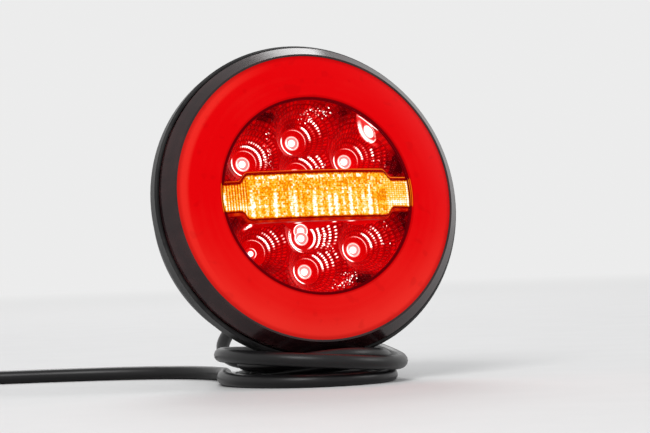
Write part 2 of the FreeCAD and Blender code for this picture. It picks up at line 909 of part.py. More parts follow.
save("cable_lead_out", [tube(lead_out_route(), lead_radius, "lead-out")])
save("cable_coil", [make_coil()])
save("cable_tail", [tube(tail_route(), lead_radius, "tail")])
core_covers, core_tips = make_cores()
for colour, cover in zip(("yellow", "green", "white", "brown", "red"), core_covers):
    save("core_" + colour, [cover])
save("core_tips", core_tips)
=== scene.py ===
import bpy
import math
import random
from mathutils import Matrix, Vector


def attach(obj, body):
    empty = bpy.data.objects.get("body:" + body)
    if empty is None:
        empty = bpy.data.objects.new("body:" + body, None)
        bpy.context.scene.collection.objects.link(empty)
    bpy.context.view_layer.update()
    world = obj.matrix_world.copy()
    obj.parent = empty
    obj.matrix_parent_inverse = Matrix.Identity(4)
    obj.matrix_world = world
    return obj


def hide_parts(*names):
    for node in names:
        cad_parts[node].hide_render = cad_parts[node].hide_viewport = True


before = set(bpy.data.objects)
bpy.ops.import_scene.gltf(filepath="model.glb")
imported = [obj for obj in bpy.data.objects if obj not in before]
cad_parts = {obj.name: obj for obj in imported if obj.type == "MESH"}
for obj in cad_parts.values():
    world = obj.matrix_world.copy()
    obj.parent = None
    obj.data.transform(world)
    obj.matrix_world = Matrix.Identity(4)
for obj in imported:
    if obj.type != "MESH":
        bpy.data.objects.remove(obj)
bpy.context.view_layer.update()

# Sizes in millimetres along the lamp's own axes: x to the right seen from the front, y up in
# the face, s forwards from the mounting face. First the CAD source's, to 0.01 mm
mm = 0.001
lean = math.radians(10.5)
table_level = -73.65
board_face = 17.5
led_top = board_face + 0.9
dome_radius = 2.8
bowl_centres = [(0.0, 29.0), (-24.0, 20.0), (24.0, 20.0), (0.0, 14.0),
                (0.0, -29.0), (-24.0, -20.0), (24.0, -20.0), (0.0, -14.0)]
bowl_mouth_radius = 12.3
bowl_throat_radius = 3.2
bowl_mouth_level = 33.0
bowl_throat_level = led_top + 0.3
bowl_rings = 6
bowl_riser = 0.35
reflector_inner_radius = 44.25
reflector_rim_level = 42.4
window_top = 48.8
dome_sphere = 258.96
bar_half_height = 9.5
bar_end_half_height = 5.8
bar_shoulder = 31.0
bar_shoulder_run = 4.5
bar_end_radius = 43.4
bar_back_level = 40.0
shaft_outer_gap = 0.7
lead_radius = 3.1
core_radius = 0.9
# Then the scene's own
outer_ring_width = 1.75
outer_riser = 0.15
facets_round = 48
facet_lift = 0.05
mirror_rise = 1.25
mirror_top_level = 39.5
backing_drop = 0.08
throat_lift = 0.12
flare_lift = 0.2
glint_lift = 0.26
lining_gap = 0.06
rim_band = 1.6
slot_shade_level = 38.0
bar_face_depth = 2.5
flute_pitch = 1.2
pillow_pitch = 0.9
speckle_width = 0.75
frame_width = 1.7
frame_step = 0.7
face_level = 42.0
# Light of the plain mirror behind the facets
backing_light = 0.17
# Bowls with a pattern of their own: partly hidden by the window's edge, and just under the bar
hidden_bowl = bowl_centres[5]
bowl_under_bar = bowl_centres[7]


def seated(x, y, s):
    """Place in the scene, in metres, of a point in the lamp's own axes."""
    return Vector((x, y * math.sin(lean) - s * math.cos(lean),
                   y * math.cos(lean) + s * math.sin(lean))) * mm


def above_table(across, back, height):
    """Place in the scene, in metres, of a point given by its height above the table."""
    return Vector((across, back, table_level + height)) * mm


# Camera


camera_place = Vector((-381.89, -1056.12, -10.71)) * mm
camera_forward = Vector((0.35538, 0.93468, 0.0088)).normalized()
camera_right = camera_forward.cross(Vector((0.0298, -0.0207, 0.9993))).normalized()
camera_up = camera_right.cross(camera_forward)
camera_lens = 138.46
face_middle = seated(0, 0, face_level)


def new_object(name, data):
    """A new object, linked into the scene."""
    made = bpy.data.objects.new(name, data)
    bpy.context.scene.collection.objects.link(made)
    return made


def place_camera():
    """The photograph's view: low, from the lamp's left, level with the middle of the coil."""
    data = bpy.data.cameras.new("photo_camera")
    data.sensor_width = 36.0
    data.lens = camera_lens
    data.clip_start = 0.01
    turn = Matrix((camera_right, camera_up, -camera_forward)).transposed().to_4x4()
    camera = new_object("photo_camera", data)
    camera.matrix_world = Matrix.Translation(camera_place) @ turn
    bpy.context.scene.camera = camera


def seen(place):
    """Where a place shows in the photograph, in millimetres from the face's middle."""
    nearer = ((face_middle - camera_place).dot(camera_forward)
              / (place - camera_place).dot(camera_forward))
    offset = place - face_middle
    return (offset.dot(camera_right) / mm * nearer, offset.dot(camera_up) / mm * nearer)


# Node helpers


def add_node(tree, kind, settings=None, **inputs):
    """A shader node with its settings, and its inputs given as values or as sockets."""
    made = tree.nodes.new(kind)
    for name, value in (settings or {}).items():
        setattr(made, name, value)
    feed(tree, made, **inputs)
    return made


def connect(tree, socket, value):
    """Feed a socket from another socket, or set it to a plain value."""
    if isinstance(value, bpy.types.NodeSocket):
        tree.links.new(value, socket)
    else:
        socket.default_value = value


def feed(tree, node, **inputs):
    """Feed a node's named inputs."""
    for name, value in inputs.items():
        connect(tree, node.inputs[name.replace("_", " ")], value)


def maths(tree, operation, first, second=0.0):
    """Result of a sum, product or comparison of two values or sockets."""
    made = tree.nodes.new("ShaderNodeMath")
    made.operation = operation
    for socket, value in zip(made.inputs, (first, second)):
        connect(tree, socket, value)
    return made.outputs[0]


def plus(tree, first, second):
    """Sum of two values or sockets."""
    return maths(tree, "ADD", first, second)


def times(tree, first, second):
    """Product of two values or sockets."""
    return maths(tree, "MULTIPLY", first, second)


def wander(tree, value, spread):
    """How far a noise is from its middle, stretched to a spread."""
    return times(tree, maths(tree, "SUBTRACT", value, 0.5), spread)


def distance(tree, x, y):
    """Distance of a place from the middle."""
    return maths(tree, "SQRT", plus(tree, times(tree, x, x), times(tree, y, y)))


def between(tree, value, low, high, smooth=True):
    """How far a value has come from low to high, from nought to one."""
    made = add_node(tree, "ShaderNodeMapRange", {"interpolation_type": "SMOOTHSTEP"}
                    if smooth else None, Value=value, From_Min=low, From_Max=high)
    return made.outputs["Result"]


def blend_colours(tree, share, first, second):
    """First colour at a share of nought, second at one."""
    made = tree.nodes.new("ShaderNodeMix")
    made.data_type = "RGBA"
    for socket, value in ((made.inputs[0], share), (made.inputs[6], first),
                          (made.inputs[7], second)):
        connect(tree, socket, value)
    return made.outputs[2]


def darkened(tree, share, colour):
    """A colour taken a share of the way to black."""
    return blend_colours(tree, share, colour, (0, 0, 0, 1))


def colour_steps(tree, value, stops):
    """Colour ramp through (place, colour) stops."""
    made = tree.nodes.new("ShaderNodeValToRGB")
    ramp = made.color_ramp
    while len(ramp.elements) < len(stops):
        ramp.elements.new(1.0)
    for element, (place, colour) in zip(ramp.elements, stops):
        element.position = place
        element.color = colour
    connect(tree, made.inputs[0], value)
    return made.outputs[0]


def held_light(tree):
    """Light value that each vertex of the piece holds."""
    light = tree.nodes.new("ShaderNodeAttribute")
    light.attribute_name = "light"
    return light.outputs["Fac"]


def piece_place(tree):
    """Place on the piece along the scene's axes, metres."""
    return tree.nodes.new("ShaderNodeTexCoord").outputs["Object"]


def lamp_place(tree):
    """Place on the piece along the lamp's own axes, millimetres."""
    turned = add_node(tree, "ShaderNodeMapping", None, Vector=piece_place(tree),
                      Rotation=(lean - math.pi / 2, 0, 0), Scale=(1000, 1000, 1000))
    return turned.outputs[0]


def split(tree, place):
    """The x, y and z of a place."""
    return add_node(tree, "ShaderNodeSeparateXYZ", None, Vector=place).outputs


def noise(tree, place, scale, detail=2.0, roughness=0.5):
    """Cloudy noise from nought to one."""
    return add_node(tree, "ShaderNodeTexNoise", None, Vector=place, Scale=scale,
                    Detail=detail, Roughness=roughness).outputs["Fac"]


def bumped(tree, height, depth, strength=1.0):
    """Surface direction of a fine relief."""
    return add_node(tree, "ShaderNodeBump", None, Height=height, Distance=depth,
                    Strength=strength).outputs["Normal"]


def finish_named(name, **constants):
    """A new material: its tree and its Principled shader with plain values set."""
    made = bpy.data.materials.new(name)
    made.use_nodes = True
    shader = made.node_tree.nodes["Principled BSDF"]
    for socket, value in constants.items():
        shader.inputs[socket.replace("_", " ")].default_value = value
    return made, made.node_tree, shader


def mix_shaders(tree, share, first, second, output):
    """Surface of one shader, giving way to another by a share."""
    mixed = tree.nodes.new("ShaderNodeMixShader")
    for socket, source in zip(mixed.inputs, (share, first.outputs[0], second.outputs[0])):
        tree.links.new(source, socket)
    tree.links.new(mixed.outputs[0], tree.nodes[output].inputs["Surface"])


def screen(r, g, b):
    """Linear colour from the 0-255 values seen on screen."""
    return tuple(((c / 255 + 0.055) / 1.055) ** 2.4 if c > 10 else c / 255 / 12.92
                 for c in (r, g, b)) + (1.0,)


# Shared effects


def group_named(name, numbers, colours):
    """A shared surface group: its tree, its given sockets and the sockets of its result."""
    tree = bpy.data.node_groups.new(name, "ShaderNodeTree")
    for kind, sockets in (("NodeSocketFloat", numbers), ("NodeSocketColor", colours)):
        for label, value in sockets:
            tree.interface.new_socket(label, in_out="INPUT",
                                      socket_type=kind).default_value = value
    for label, kind in (("Colour", "NodeSocketColor"), ("Roughness", "NodeSocketFloat"),
                        ("Normal", "NodeSocketVector")):
        tree.interface.new_socket(label, in_out="OUTPUT", socket_type=kind)
    return (tree, tree.nodes.new("NodeGroupInput").outputs,
            tree.nodes.new("NodeGroupOutput").inputs)


def surfaced(name, group, plain, **values):
    """A finish whose colour, roughness and relief come from a shared surface group."""
    made, tree, shader = finish_named(name, **plain)
    surface = add_node(tree, "ShaderNodeGroup", {"node_tree": group}, **values)
    feed(tree, shader, Base_Color=surface.outputs["Colour"],
         Roughness=surface.outputs["Roughness"], Normal=surface.outputs["Normal"])
    return made


def make_moulded_surface():
    """Fine mould grain, soft handling marks and paler worn edges on plastic or rubber."""
    tree, given, result = group_named(
        "moulded_surface",
        (("Grain size", 900.0), ("Grain depth", 0.00002), ("Roughness", 0.4),
         ("Roughness spread", 0.15), ("Wear", 0.3), ("Dust", 0.1)),
        (("Colour", (0.02, 0.02, 0.02, 1)), ("Worn colour", (0.1, 0.1, 0.1, 1))))
    place = piece_place(tree)
    grain = noise(tree, place, given["Grain size"], 3.0, 0.6)
    marks = noise(tree, place, 70.0, 4.0, 0.65)
    clouds = noise(tree, place, 24.0, 2.0)
    pointed = between(tree, tree.nodes.new("ShaderNodeNewGeometry").outputs["Pointiness"],
                      0.52, 0.62)
    rubbed = times(tree, times(tree, pointed, between(tree, marks, 0.35, 0.65)), given["Wear"])
    dusty = times(tree, between(tree, clouds, 0.45, 0.75), given["Dust"])
    lighter = maths(tree, "MAXIMUM", rubbed, dusty)
    rough = plus(tree, given["Roughness"], wander(tree, marks, given["Roughness spread"]))
    height = plus(tree, grain, times(tree, marks, 0.5))
    connect(tree, result["Colour"],
            blend_colours(tree, lighter, given["Colour"], given["Worn colour"]))
    connect(tree, result["Roughness"], plus(tree, rough, times(tree, dusty, 0.4)))
    connect(tree, result["Normal"], bumped(tree, height, given["Grain depth"]))
    return tree


moulded_surface = make_moulded_surface()


def moulded(name, colour, worn, gloss=0.5, **values):
    """A plastic or rubber finish from the shared surface, with its own values."""
    return surfaced(name, moulded_surface, {"Specular_IOR_Level": gloss}, Colour=colour,
                    Worn_colour=worn, **values)


def make_metal_surface():
    """Brushed or plated metal: fine scratches, stains and a little grain."""
    tree, given, result = group_named(
        "metal_surface",
        (("Grain size", 600.0), ("Grain depth", 0.00001), ("Roughness", 0.3),
         ("Roughness spread", 0.2), ("Stain", 0.2)),
        (("Colour", (0.6, 0.6, 0.6, 1)), ("Stain colour", (0.3, 0.28, 0.25, 1))))
    place = piece_place(tree)
    grain = noise(tree, place, given["Grain size"], 2.0)
    patches = noise(tree, place, 160.0, 4.0, 0.6)
    stained = times(tree, between(tree, patches, 0.45, 0.7), given["Stain"])
    connect(tree, result["Colour"],
            blend_colours(tree, stained, given["Colour"], given["Stain colour"]))
    connect(tree, result["Roughness"], plus(
        tree, given["Roughness"], wander(tree, patches, given["Roughness spread"])))
    connect(tree, result["Normal"], bumped(tree, grain, given["Grain depth"]))
    return tree


metal_surface = make_metal_surface()


def metal(name, colour, stain, **values):
    """A bare or plated metal finish from the shared surface, with its own values."""
    return surfaced(name, metal_surface, {"Metallic": 1.0}, Colour=colour,
                    Stain_colour=stain, **values)


# Finishes of the lamp


def make_ring_finish():
    """Milky red diffuser lit from behind: paler towards its lower outer edge."""
    made, tree, shader = finish_named("ring_milky_red", Specular_IOR_Level=0.12,
                                      Specular_Tint=(1, 0.1, 0.1, 1),
                                      Emission_Strength=0.6)
    place = lamp_place(tree)
    x, y, _ = split(tree, place)
    radius = distance(tree, x, y)
    cloud = noise(tree, place, 0.05, 3.0)
    blotch = between(tree, noise(tree, place, 0.16, 1.0), 0.62, 0.72)
    low = between(tree, y, 5.0, -55.0)
    outer = between(tree, radius, 50.0, 61.0)
    pale = plus(tree, times(tree, low, plus(tree, 0.35, times(tree, outer, 0.65))),
                wander(tree, cloud, 0.35))
    along_radius = add_node(tree, "ShaderNodeCombineXYZ", None, X=radius).outputs[0]
    pale = plus(tree, pale, wander(tree, noise(tree, along_radius, 0.35, 2.0), 0.25))
    left = times(tree, between(tree, x, -10.0, -45.0), between(tree, radius, 57.5, 59.5))
    pale = maths(tree, "MAXIMUM", pale, times(tree, left, 0.8))
    rim = between(tree, radius, 45.0, 44.3)
    lip = between(tree, radius, 60.6, 62.4)
    colour = blend_colours(tree, pale, screen(231, 2, 8), screen(243, 46, 38))
    for where, strength, shade in ((blotch, 0.12, screen(150, 0, 4)),
                                   (rim, 0.5, screen(180, 0, 3)),
                                   (lip, 0.5, screen(170, 0, 4))):
        colour = blend_colours(tree, times(tree, where, strength), colour, shade)
    feed(tree, shader, Base_Color=darkened(tree, 0.6, colour), Emission_Color=colour,
         Roughness=plus(tree, 0.3, times(tree, cloud, 0.12)),
         Normal=bumped(tree, noise(tree, place, 1.4, 2.0), 0.00003))
    return made


def make_window_finish():
    """Clear moulded window that bends light little, with painted shade and then painted light
    along its edge.
    """
    made, tree, shader = finish_named("window_clear", Transmission_Weight=1.0, IOR=1.09,
                                      Specular_Tint=(1, 0.25, 0.25, 1),
                                      Emission_Strength=1.0)
    place = lamp_place(tree)
    haze = noise(tree, place, 0.3, 3.0)
    x, y, _ = split(tree, place)
    radius = distance(tree, x, y)
    off_bar = between(tree, maths(tree, "ABSOLUTE", y), 5.6, 6.6)
    edge = between(tree, plus(tree, radius, times(tree, off_bar, 0.75)), 43.2, 43.5)
    # Painted light along the edge: orange beside the bar, red elsewhere, dark red at the very
    # rim; the edge's base colour is darkened as painted shade
    glow = blend_colours(tree, off_bar, screen(240, 120, 10), screen(192, 1, 4))
    glow = blend_colours(tree, between(tree, radius, 43.7, 43.95), screen(84, 0, 6), glow)
    body = blend_colours(tree, haze, (1.0, 0.96, 0.96, 1), (1.0, 0.93, 0.93, 1))
    feed(tree, shader, Base_Color=blend_colours(tree, edge, body, screen(40, 0, 4)),
         Emission_Color=blend_colours(tree, edge, (0, 0, 0, 1), glow),
         Roughness=plus(tree, between(tree, haze, 0.3, 12.0, False), times(tree, edge, 0.6)))
    clear = tree.nodes.new("ShaderNodeBsdfTransparent")
    clear.inputs["Color"].default_value = (1, 0.95, 0.95, 1)
    shadow = tree.nodes.new("ShaderNodeLightPath").outputs["Is Shadow Ray"]
    mix_shaders(tree, shadow, shader, clear, "Material Output")
    return made


def make_mirror_finish(name, metallic, gloss):
    """Metallised bowls in red light, their red painted in. The painted light held by each
    vertex lifts it to white.
    """
    made, tree, shader = finish_named(name, Metallic=metallic, Specular_IOR_Level=gloss,
                                      Specular_Tint=(1, 0.04, 0.04, 1),
                                      Emission_Strength=1.0)
    place = lamp_place(tree)
    cloud = noise(tree, place, 0.12, 3.0)
    specks = noise(tree, place, 2.6, 3.0, 0.7)
    light = held_light(tree)
    # The CAD reflector holds no light value, so it takes that of the mirror behind the facets
    unlit = maths(tree, "LESS_THAN", light, 0.0005)
    level = plus(tree, light, times(tree, unlit, backing_light))
    deep = blend_colours(tree, between(tree, cloud, 0.35, 0.65), screen(96, 0, 2),
                         screen(130, 1, 4))
    # Painted shade: the red goes towards black where the painted light is nought
    deep = blend_colours(tree, between(tree, level, 0.0, 0.035), screen(34, 0, 1), deep)
    shown = colour_steps(tree, level, (
        (0.0, screen(48, 0, 3)), (0.12, screen(130, 0, 3)), (0.3, screen(212, 2, 4)),
        (0.5, screen(240, 60, 60)), (0.72, (1.0, 0.62, 0.58, 1)), (1.0, (2.2, 2.0, 1.9, 1))))
    feed(tree, shader, Base_Color=deep, Emission_Color=shown,
         Roughness=plus(tree, 0.26, times(tree, specks, 0.2)),
         Normal=bumped(tree, specks, 0.00004, 0.5))
    return made


def make_amber_finish():
    """Amber lens lit from behind. The light held by each point lifts it to white."""
    made, tree, shader = finish_named("amber_lit_lens", Specular_IOR_Level=0.15,
                                      Specular_Tint=(1, 0.6, 0.1, 1),
                                      Emission_Strength=0.87)
    grit = noise(tree, lamp_place(tree), 1.2, 2.0, 0.6)
    light = held_light(tree)
    level = maths(tree, "MAXIMUM", plus(tree, light, wander(tree, grit, 1.3)),
                  maths(tree, "MINIMUM", light, 0.16))
    shown = colour_steps(tree, level, (
        (0.0, screen(212, 34, 2)), (0.09, screen(226, 96, 0)), (0.2, screen(243, 142, 0)),
        (0.42, screen(255, 184, 4)), (0.62, screen(255, 214, 90)), (0.82, (1.1, 0.92, 0.64, 1)),
        (1.0, (1.4, 1.3, 1.2, 1))))
    feed(tree, shader, Base_Color=darkened(tree, 0.85, shown), Emission_Color=shown,
         Roughness=plus(tree, 0.2, times(tree, grit, 0.2)))
    return made


def make_frame_finish():
    """Dark red moulding with painted stray light from the bar: orange wherever its vertices
    hold painted light.
    """
    made, tree, shader = finish_named("frame_dark_red", Specular_IOR_Level=0.1,
                                      Specular_Tint=(1, 0.2, 0.05, 1),
                                      Roughness=0.4, Emission_Strength=1.0)
    uneven_light_and_relief = noise(tree, lamp_place(tree), 0.5, 3.0, 0.7)
    # Painted light: the light each vertex holds, made uneven by a noise that also gives the
    # relief
    level = plus(tree, held_light(tree), wander(tree, uneven_light_and_relief, 0.25))
    shown = colour_steps(tree, level, (
        (0.0, screen(112, 0, 1)), (0.3, screen(184, 14, 2)), (0.6, screen(226, 90, 4)),
        (1.0, screen(255, 170, 40))))
    feed(tree, shader, Base_Color=darkened(tree, 0.85, shown), Emission_Color=shown,
         Normal=bumped(tree, uneven_light_and_relief, 0.00003))
    return made


def make_plain_glow(name, shown, dim, strength, size):
    """Small light source with a faintly uneven glow."""
    made, tree, shader = finish_named(name, Emission_Strength=strength, Roughness=0.4)
    uneven = noise(tree, lamp_place(tree), size, 2.0)
    colour = blend_colours(tree, between(tree, uneven, 0.3, 0.7), dim, shown)
    feed(tree, shader, Base_Color=colour, Emission_Color=colour)
    return made


def make_board_finish():
    """Green board under its lacquer, with faint copper tracks."""
    made, tree, shader = finish_named("board_solder_mask", Coat_Weight=0.3)
    place = lamp_place(tree)
    tracks = add_node(tree, "ShaderNodeTexVoronoi", {"feature": "DISTANCE_TO_EDGE"},
                      Vector=place, Scale=0.16)
    line = between(tree, tracks.outputs["Distance"], 0.06, 0.03)
    colour = blend_colours(tree, line, (0.012, 0.11, 0.04, 1), (0.03, 0.22, 0.09, 1))
    feed(tree, shader, Base_Color=colour, Normal=bumped(tree, line, 0.00003),
         Roughness=plus(tree, 0.3, times(tree, line, 0.15)))
    return made


def make_finishes():
    """Every finish, under its material slot's name."""
    black = (0.011, 0.0105, 0.011, 1)
    grey = (0.11, 0.105, 0.1, 1)
    made = {
        "housing_plastic": moulded("housing_black_plastic", black, grey, Grain_size=1500.0,
                                   Roughness=0.4, Wear=0.4, Dust=0.04, gloss=0.2),
        "skirt_plastic": moulded("skirt_gloss_plastic", (0.014, 0.004, 0.005, 1),
                                 (0.09, 0.03, 0.03, 1), Grain_size=900.0, Roughness=0.18,
                                 Grain_depth=0.000008, Wear=0.6, Dust=0.03, gloss=0.4),
        "pad_rubber": moulded("pad_cell_rubber", (0.02, 0.02, 0.021, 1), grey,
                              Grain_size=1300.0, Grain_depth=0.0001, Roughness=0.85,
                              Dust=0.35, gloss=0.2),
        "seal_rubber": moulded("seal_soft_rubber", (0.03, 0.03, 0.03, 1), grey,
                               Roughness=0.7, Grain_depth=0.00005),
        "grommet_rubber": moulded("grommet_rubber_black", (0.014, 0.014, 0.015, 1), grey,
                                  Roughness=0.55, Grain_depth=0.00004, Dust=0.2, gloss=0.35),
        "jacket_black": moulded("jacket_black_rubber", (0.006, 0.0055, 0.006, 1),
                                (0.05, 0.047, 0.047, 1), Grain_size=1100.0,
                                Grain_depth=0.00003, Roughness=0.34, Roughness_spread=0.25,
                                Dust=0.1, Wear=0.2, gloss=0.3),
        "chip_black": moulded("chip_epoxy", (0.02, 0.02, 0.022, 1), grey, Roughness=0.5),
        "resistor_grey": moulded("resistor_ceramic", (0.05, 0.055, 0.07, 1),
                                 (0.4, 0.4, 0.4, 1), Roughness=0.4),
        "led_base": moulded("light_source_base", (0.75, 0.74, 0.7, 1), (0.5, 0.45, 0.4, 1),
                            Roughness=0.5),
        "channel_white": moulded("channel_white_plastic", (0.8, 0.78, 0.76, 1),
                                 (0.55, 0.5, 0.48, 1), Roughness=0.45),
        "shaft_plastic": make_frame_finish(),
        "core_mixed": moulded("core_mixed_vinyl", (0.3, 0.12, 0.03, 1), grey, Roughness=0.4),
        "stud_steel": metal("stud_zinc", (0.62, 0.61, 0.58, 1), (0.4, 0.36, 0.26, 1)),
        "screw_steel": metal("screw_plain_steel", (0.6, 0.6, 0.6, 1), (0.3, 0.3, 0.3, 1)),
        "bare_copper": metal("bare_copper", (0.86, 0.42, 0.2, 1), (0.4, 0.16, 0.08, 1),
                             Stain=0.5),
        "ring_red": make_ring_finish(),
        "window_clear": make_window_finish(),
        "reflector_metal": make_mirror_finish("reflector_metal_in_red_light", 0.5, 0.05),
        "slot_lining": make_mirror_finish("slot_dull_metal", 0.05, 0.0),
        "led_dome": make_plain_glow("dome_red_glow", (1.0, 0.75, 0.7, 1),
                                    (1.0, 0.2, 0.2, 1), 2.0, 0.5),
        "amber_clear": make_amber_finish(),
        "amber_led": make_plain_glow("amber_source", (1.0, 0.6, 0.1, 1),
                                     (0.9, 0.4, 0.05, 1), 1.5, 0.5),
        "ring_led": make_plain_glow("ring_source", (1.0, 0.1, 0.08, 1),
                                    (0.8, 0.02, 0.02, 1), 1.5, 0.5),
        "board_green": make_board_finish(),
    }
    vinyls = {"yellow": (0.8, 0.5, 0.02, 1), "green": (0.02, 0.25, 0.06, 1),
              "white": (0.75, 0.74, 0.7, 1), "brown": (0.16, 0.06, 0.025, 1),
              "red": (0.55, 0.02, 0.02, 1)}
    for colour, tone in vinyls.items():
        dusty = tuple(c * 0.6 for c in tone[:3]) + (1,)
        made["core_" + colour] = moulded("core_vinyl_" + colour, tone, dusty,
                                         Roughness=0.35, Dust=0.3, Wear=0.0)
    return made


finishes = make_finishes()
node_slots = {
    "rear_housing": "housing_plastic", "mounting_pad": "pad_rubber",
    "mounting_studs": "stud_steel", "ring_lens": "ring_red", "window_lens": "window_clear",
    "lens_skirt": "skirt_plastic", "lens_seal": "seal_rubber", "main_board": "board_green",
    "board_screws": "screw_steel", "red_leds": "led_base", "red_led_domes": "led_dome",
    "amber_leds": "amber_led", "ring_leds": "ring_led", "driver_chips": "chip_black",
    "board_resistors": "resistor_grey", "bowl_reflector": "reflector_metal",
    "amber_lens": "amber_clear", "amber_light_shaft": "shaft_plastic",
    "ring_light_channel": "channel_white", "cable_grommet": "grommet_rubber",
    "cable_entry": "jacket_black", "inner_cores": "core_mixed"}


def dress_nodes():
    """Give the listed CAD nodes the finish of their slot."""
    for name, slot in node_slots.items():
        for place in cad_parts[name].material_slots:
            place.material = finishes[slot]


dress_nodes()


# Pieces


def add_piece(name, data, slot, *nodes):
    """Put a new piece on the lamp, in the finish of its slot, in place of CAD nodes."""
    piece = new_object(name, data)
    piece.data.materials.append(finishes[slot])
    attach(piece, "root")
    if nodes:
        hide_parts(*nodes)
    return piece


def mesh_of(name, points, faces, light=None, smooth=True):
    """Mesh of points in the scene, with an optional light value for each."""
    data = bpy.data.meshes.new(name)
    data.from_pydata(points, [], faces)
    data.validate()
    if smooth:
        data.shade_smooth()
    if light:
        held = data.attributes.new("light", "FLOAT", "POINT")
        held.data.foreach_set("value", light)
    return data


def add_sheet(name, points, faces, light, slot, *nodes, smooth=True):
    """Put a new piece on the lamp, made of points and faces, each point with its light."""
    return add_piece(name, mesh_of(name, points, faces, light, smooth), slot, *nodes)


def add_grid(points, faces, across, up, flip=False):
    """Faces of a patch of points laid row by row, the last ones of the list."""
    first = len(points) - across * up
    for row in range(up - 1):
        for k in range(across - 1):
            a = first + row * across + k
            face = (a, a + 1, a + across + 1, a + across)
            faces.append(face[::-1] if flip else face)


def add_tube(points, faces, sides, rings):
    """Faces round closed rings of points, the last ones of the list."""
    first = len(points) - sides * rings
    for row in range(rings - 1):
        for k in range(sides):
            a = first + row * sides + k
            b = first + row * sides + (k + 1) % sides
            faces.append((a, b, b + sides, a + sides))


# Lead and its bare end


def grommet_tip():
    """Where the lead leaves the grommet."""
    return seated(0, -grommet_drop, grommet_tip_level)


def swing(turns):
    """Smooth rise from nought to one in half a turn, and back in the next half."""
    return (1 - math.cos(2 * math.pi * turns)) / 2


# The lead's exit, its coil and its cores, as in the CAD source; turns count from the lamp's
# end, and the last two rows are each core's reach and its share of the fan, point by point
grommet_drop = 30.0
grommet_tip_level = -20.2
lead_exit_run = 14.0
coil_centre = (0.8, -25.3)
coil_radius = 39.5
coil_stretch = 1.10
upper_turns = 2.12
cross_turns = 0.5
lower_turns = 1.95
coil_turns = upper_turns + cross_turns + lower_turns
coil_flat = 0.5
lower_centre = lead_radius - coil_flat
layer_pitch = 6.85
upper_turn_pitch = 6.9
lower_turn_pitch = 6.7
first_turn_swell = 3.2
first_turn_low = 7.4
first_turn_high = 13.6
second_turn_arch = 3.4
arch_middle = 1.22
arch_half_span = 0.24
inner_dip = 1.2
coil_start_fall = 2.4
coil_start_fall_turns = 0.14
coil_end_lift = 0.15
coil_settle_turns = 0.25
core_circle = 1.9
core_fan = 2.8
core_reaches = (7.0, 17.0, 28.0, 38.0)
core_fan_shares = (0.0, 0.5, 1.1, 1.3)
# The scene's spline: its points, how far it cuts inside them and its first and last stretch
points_per_turn = 24
spline_cut = 0.9915
coil_start_run = 21.2
coil_end_run = 20.2
# The bare strands: their radius, how far they lie apart, stick out and start inside the core
strand_radius = 0.19
strand_offset = 0.36
strand_length = 7.0
strand_inset = 0.4


def coil_radius_at(turns):
    """Distance of the centre line from the coil's middle."""
    if turns <= upper_turns:
        swell = first_turn_swell * swing(turns) if turns < 1 else 0.0
        return coil_radius - upper_turn_pitch * turns + swell
    inner_radius = coil_radius - upper_turn_pitch * upper_turns
    below = turns - upper_turns - cross_turns
    if below <= 0:
        return inner_radius - inner_dip * math.sin(math.pi * (1 + below / cross_turns))
    return inner_radius + lower_turn_pitch * below


def coil_height_at(turns):
    """Height of the centre line above the table."""
    upper = lower_centre + layer_pitch
    if turns <= upper_turns:
        valley = first_turn_low if turns < 0.5 else upper
        climb = swing(turns) if turns < 1 else 0.0
        off_arch = min(1.0, abs(turns - arch_middle) / arch_half_span)
        fall = max(0.0, 1 - turns / coil_start_fall_turns)
        return (valley + (first_turn_high - valley) * climb + coil_start_fall * fall ** 2
                + second_turn_arch * swing((1 - off_arch) / 2))
    share = (turns - upper_turns) / cross_turns
    if share <= 1:
        return upper - layer_pitch * swing(share / 2)
    settle = (turns - coil_turns) / coil_settle_turns + 1
    return lower_centre + (coil_flat + coil_end_lift) * max(0.0, settle)


def coil_point(turns, grow=1.0):
    """Point of the coil after some turns, from the lamp's end to the tail's end."""
    radius = coil_radius_at(turns) * grow
    angle = -2 * math.pi * turns
    return above_table(coil_centre[0] + radius * math.cos(angle),
                       coil_centre[1] + coil_stretch * radius * math.sin(angle),
                       coil_height_at(turns))


def coil_way(turns):
    """Direction of the coil's centre line after some turns."""
    return (coil_point(turns + 0.01) - coil_point(turns - 0.01)).normalized()


def lead_points():
    """Route of the whole lead, from the grommet through the coil to the bare end."""
    start = grommet_tip()
    outwards = (start - seated(0, -grommet_drop, 0)).normalized()
    lead_out = [(-3.5, 41.5, 31.5), (-8.3, 55.5, 22.5), (-8.6, 70.5, 13.5),
                (-1.7, 83.6, 7.0), (10.3, 92.6, 3.8), (24.9, 96.0, 3.1),
                (39.6, 93.1, 3.1), (51.8, 84.6, 3.1), (59.5, 71.7, 3.1),
                (61.6, 56.9, 3.1), (58.7, 42.0, 4.3), (52.8, 28.0, 7.0),
                (46.5, 14.0, 10.5)]
    tail = [(-23.7, 25.9, 3.1), (-26.7, 42.6, 3.1), (-35.4, 58.3, 3.1),
            (-49.5, 71.0, 3.1), (-67.0, 80.7, 3.1), (-86.5, 88.6, 3.1),
            (-107.5, 95.0, 3.1), (-127.3, 103.4, 3.1)]
    points = [start, start + outwards * lead_exit_run * mm]
    points += [above_table(*point) for point in lead_out]
    points.append(coil_point(0) - coil_way(0) * coil_start_run * mm)
    steps = round(coil_turns * points_per_turn)
    for k in range(steps + 1):
        points.append(coil_point(coil_turns * k / steps, 1 / spline_cut))
    points.append(coil_point(coil_turns) + coil_way(coil_turns) * coil_end_run * mm)
    return points + [above_table(*point) for point in tail]


def spline_tube(name, points, radius, rings, sides):
    """Round tube along one smooth spline that the points control."""
    data = bpy.data.curves.new(name, "CURVE")
    data.dimensions = "3D"
    data.resolution_u = rings
    data.bevel_depth = radius * mm
    data.bevel_resolution = sides
    data.use_fill_caps = True
    line = data.splines.new("NURBS")
    line.points.add(len(points) - 1)
    for control, point in zip(line.points, points):
        control.co = (*point, 1)
    line.order_u = 3
    line.use_endpoint_u = True
    return data


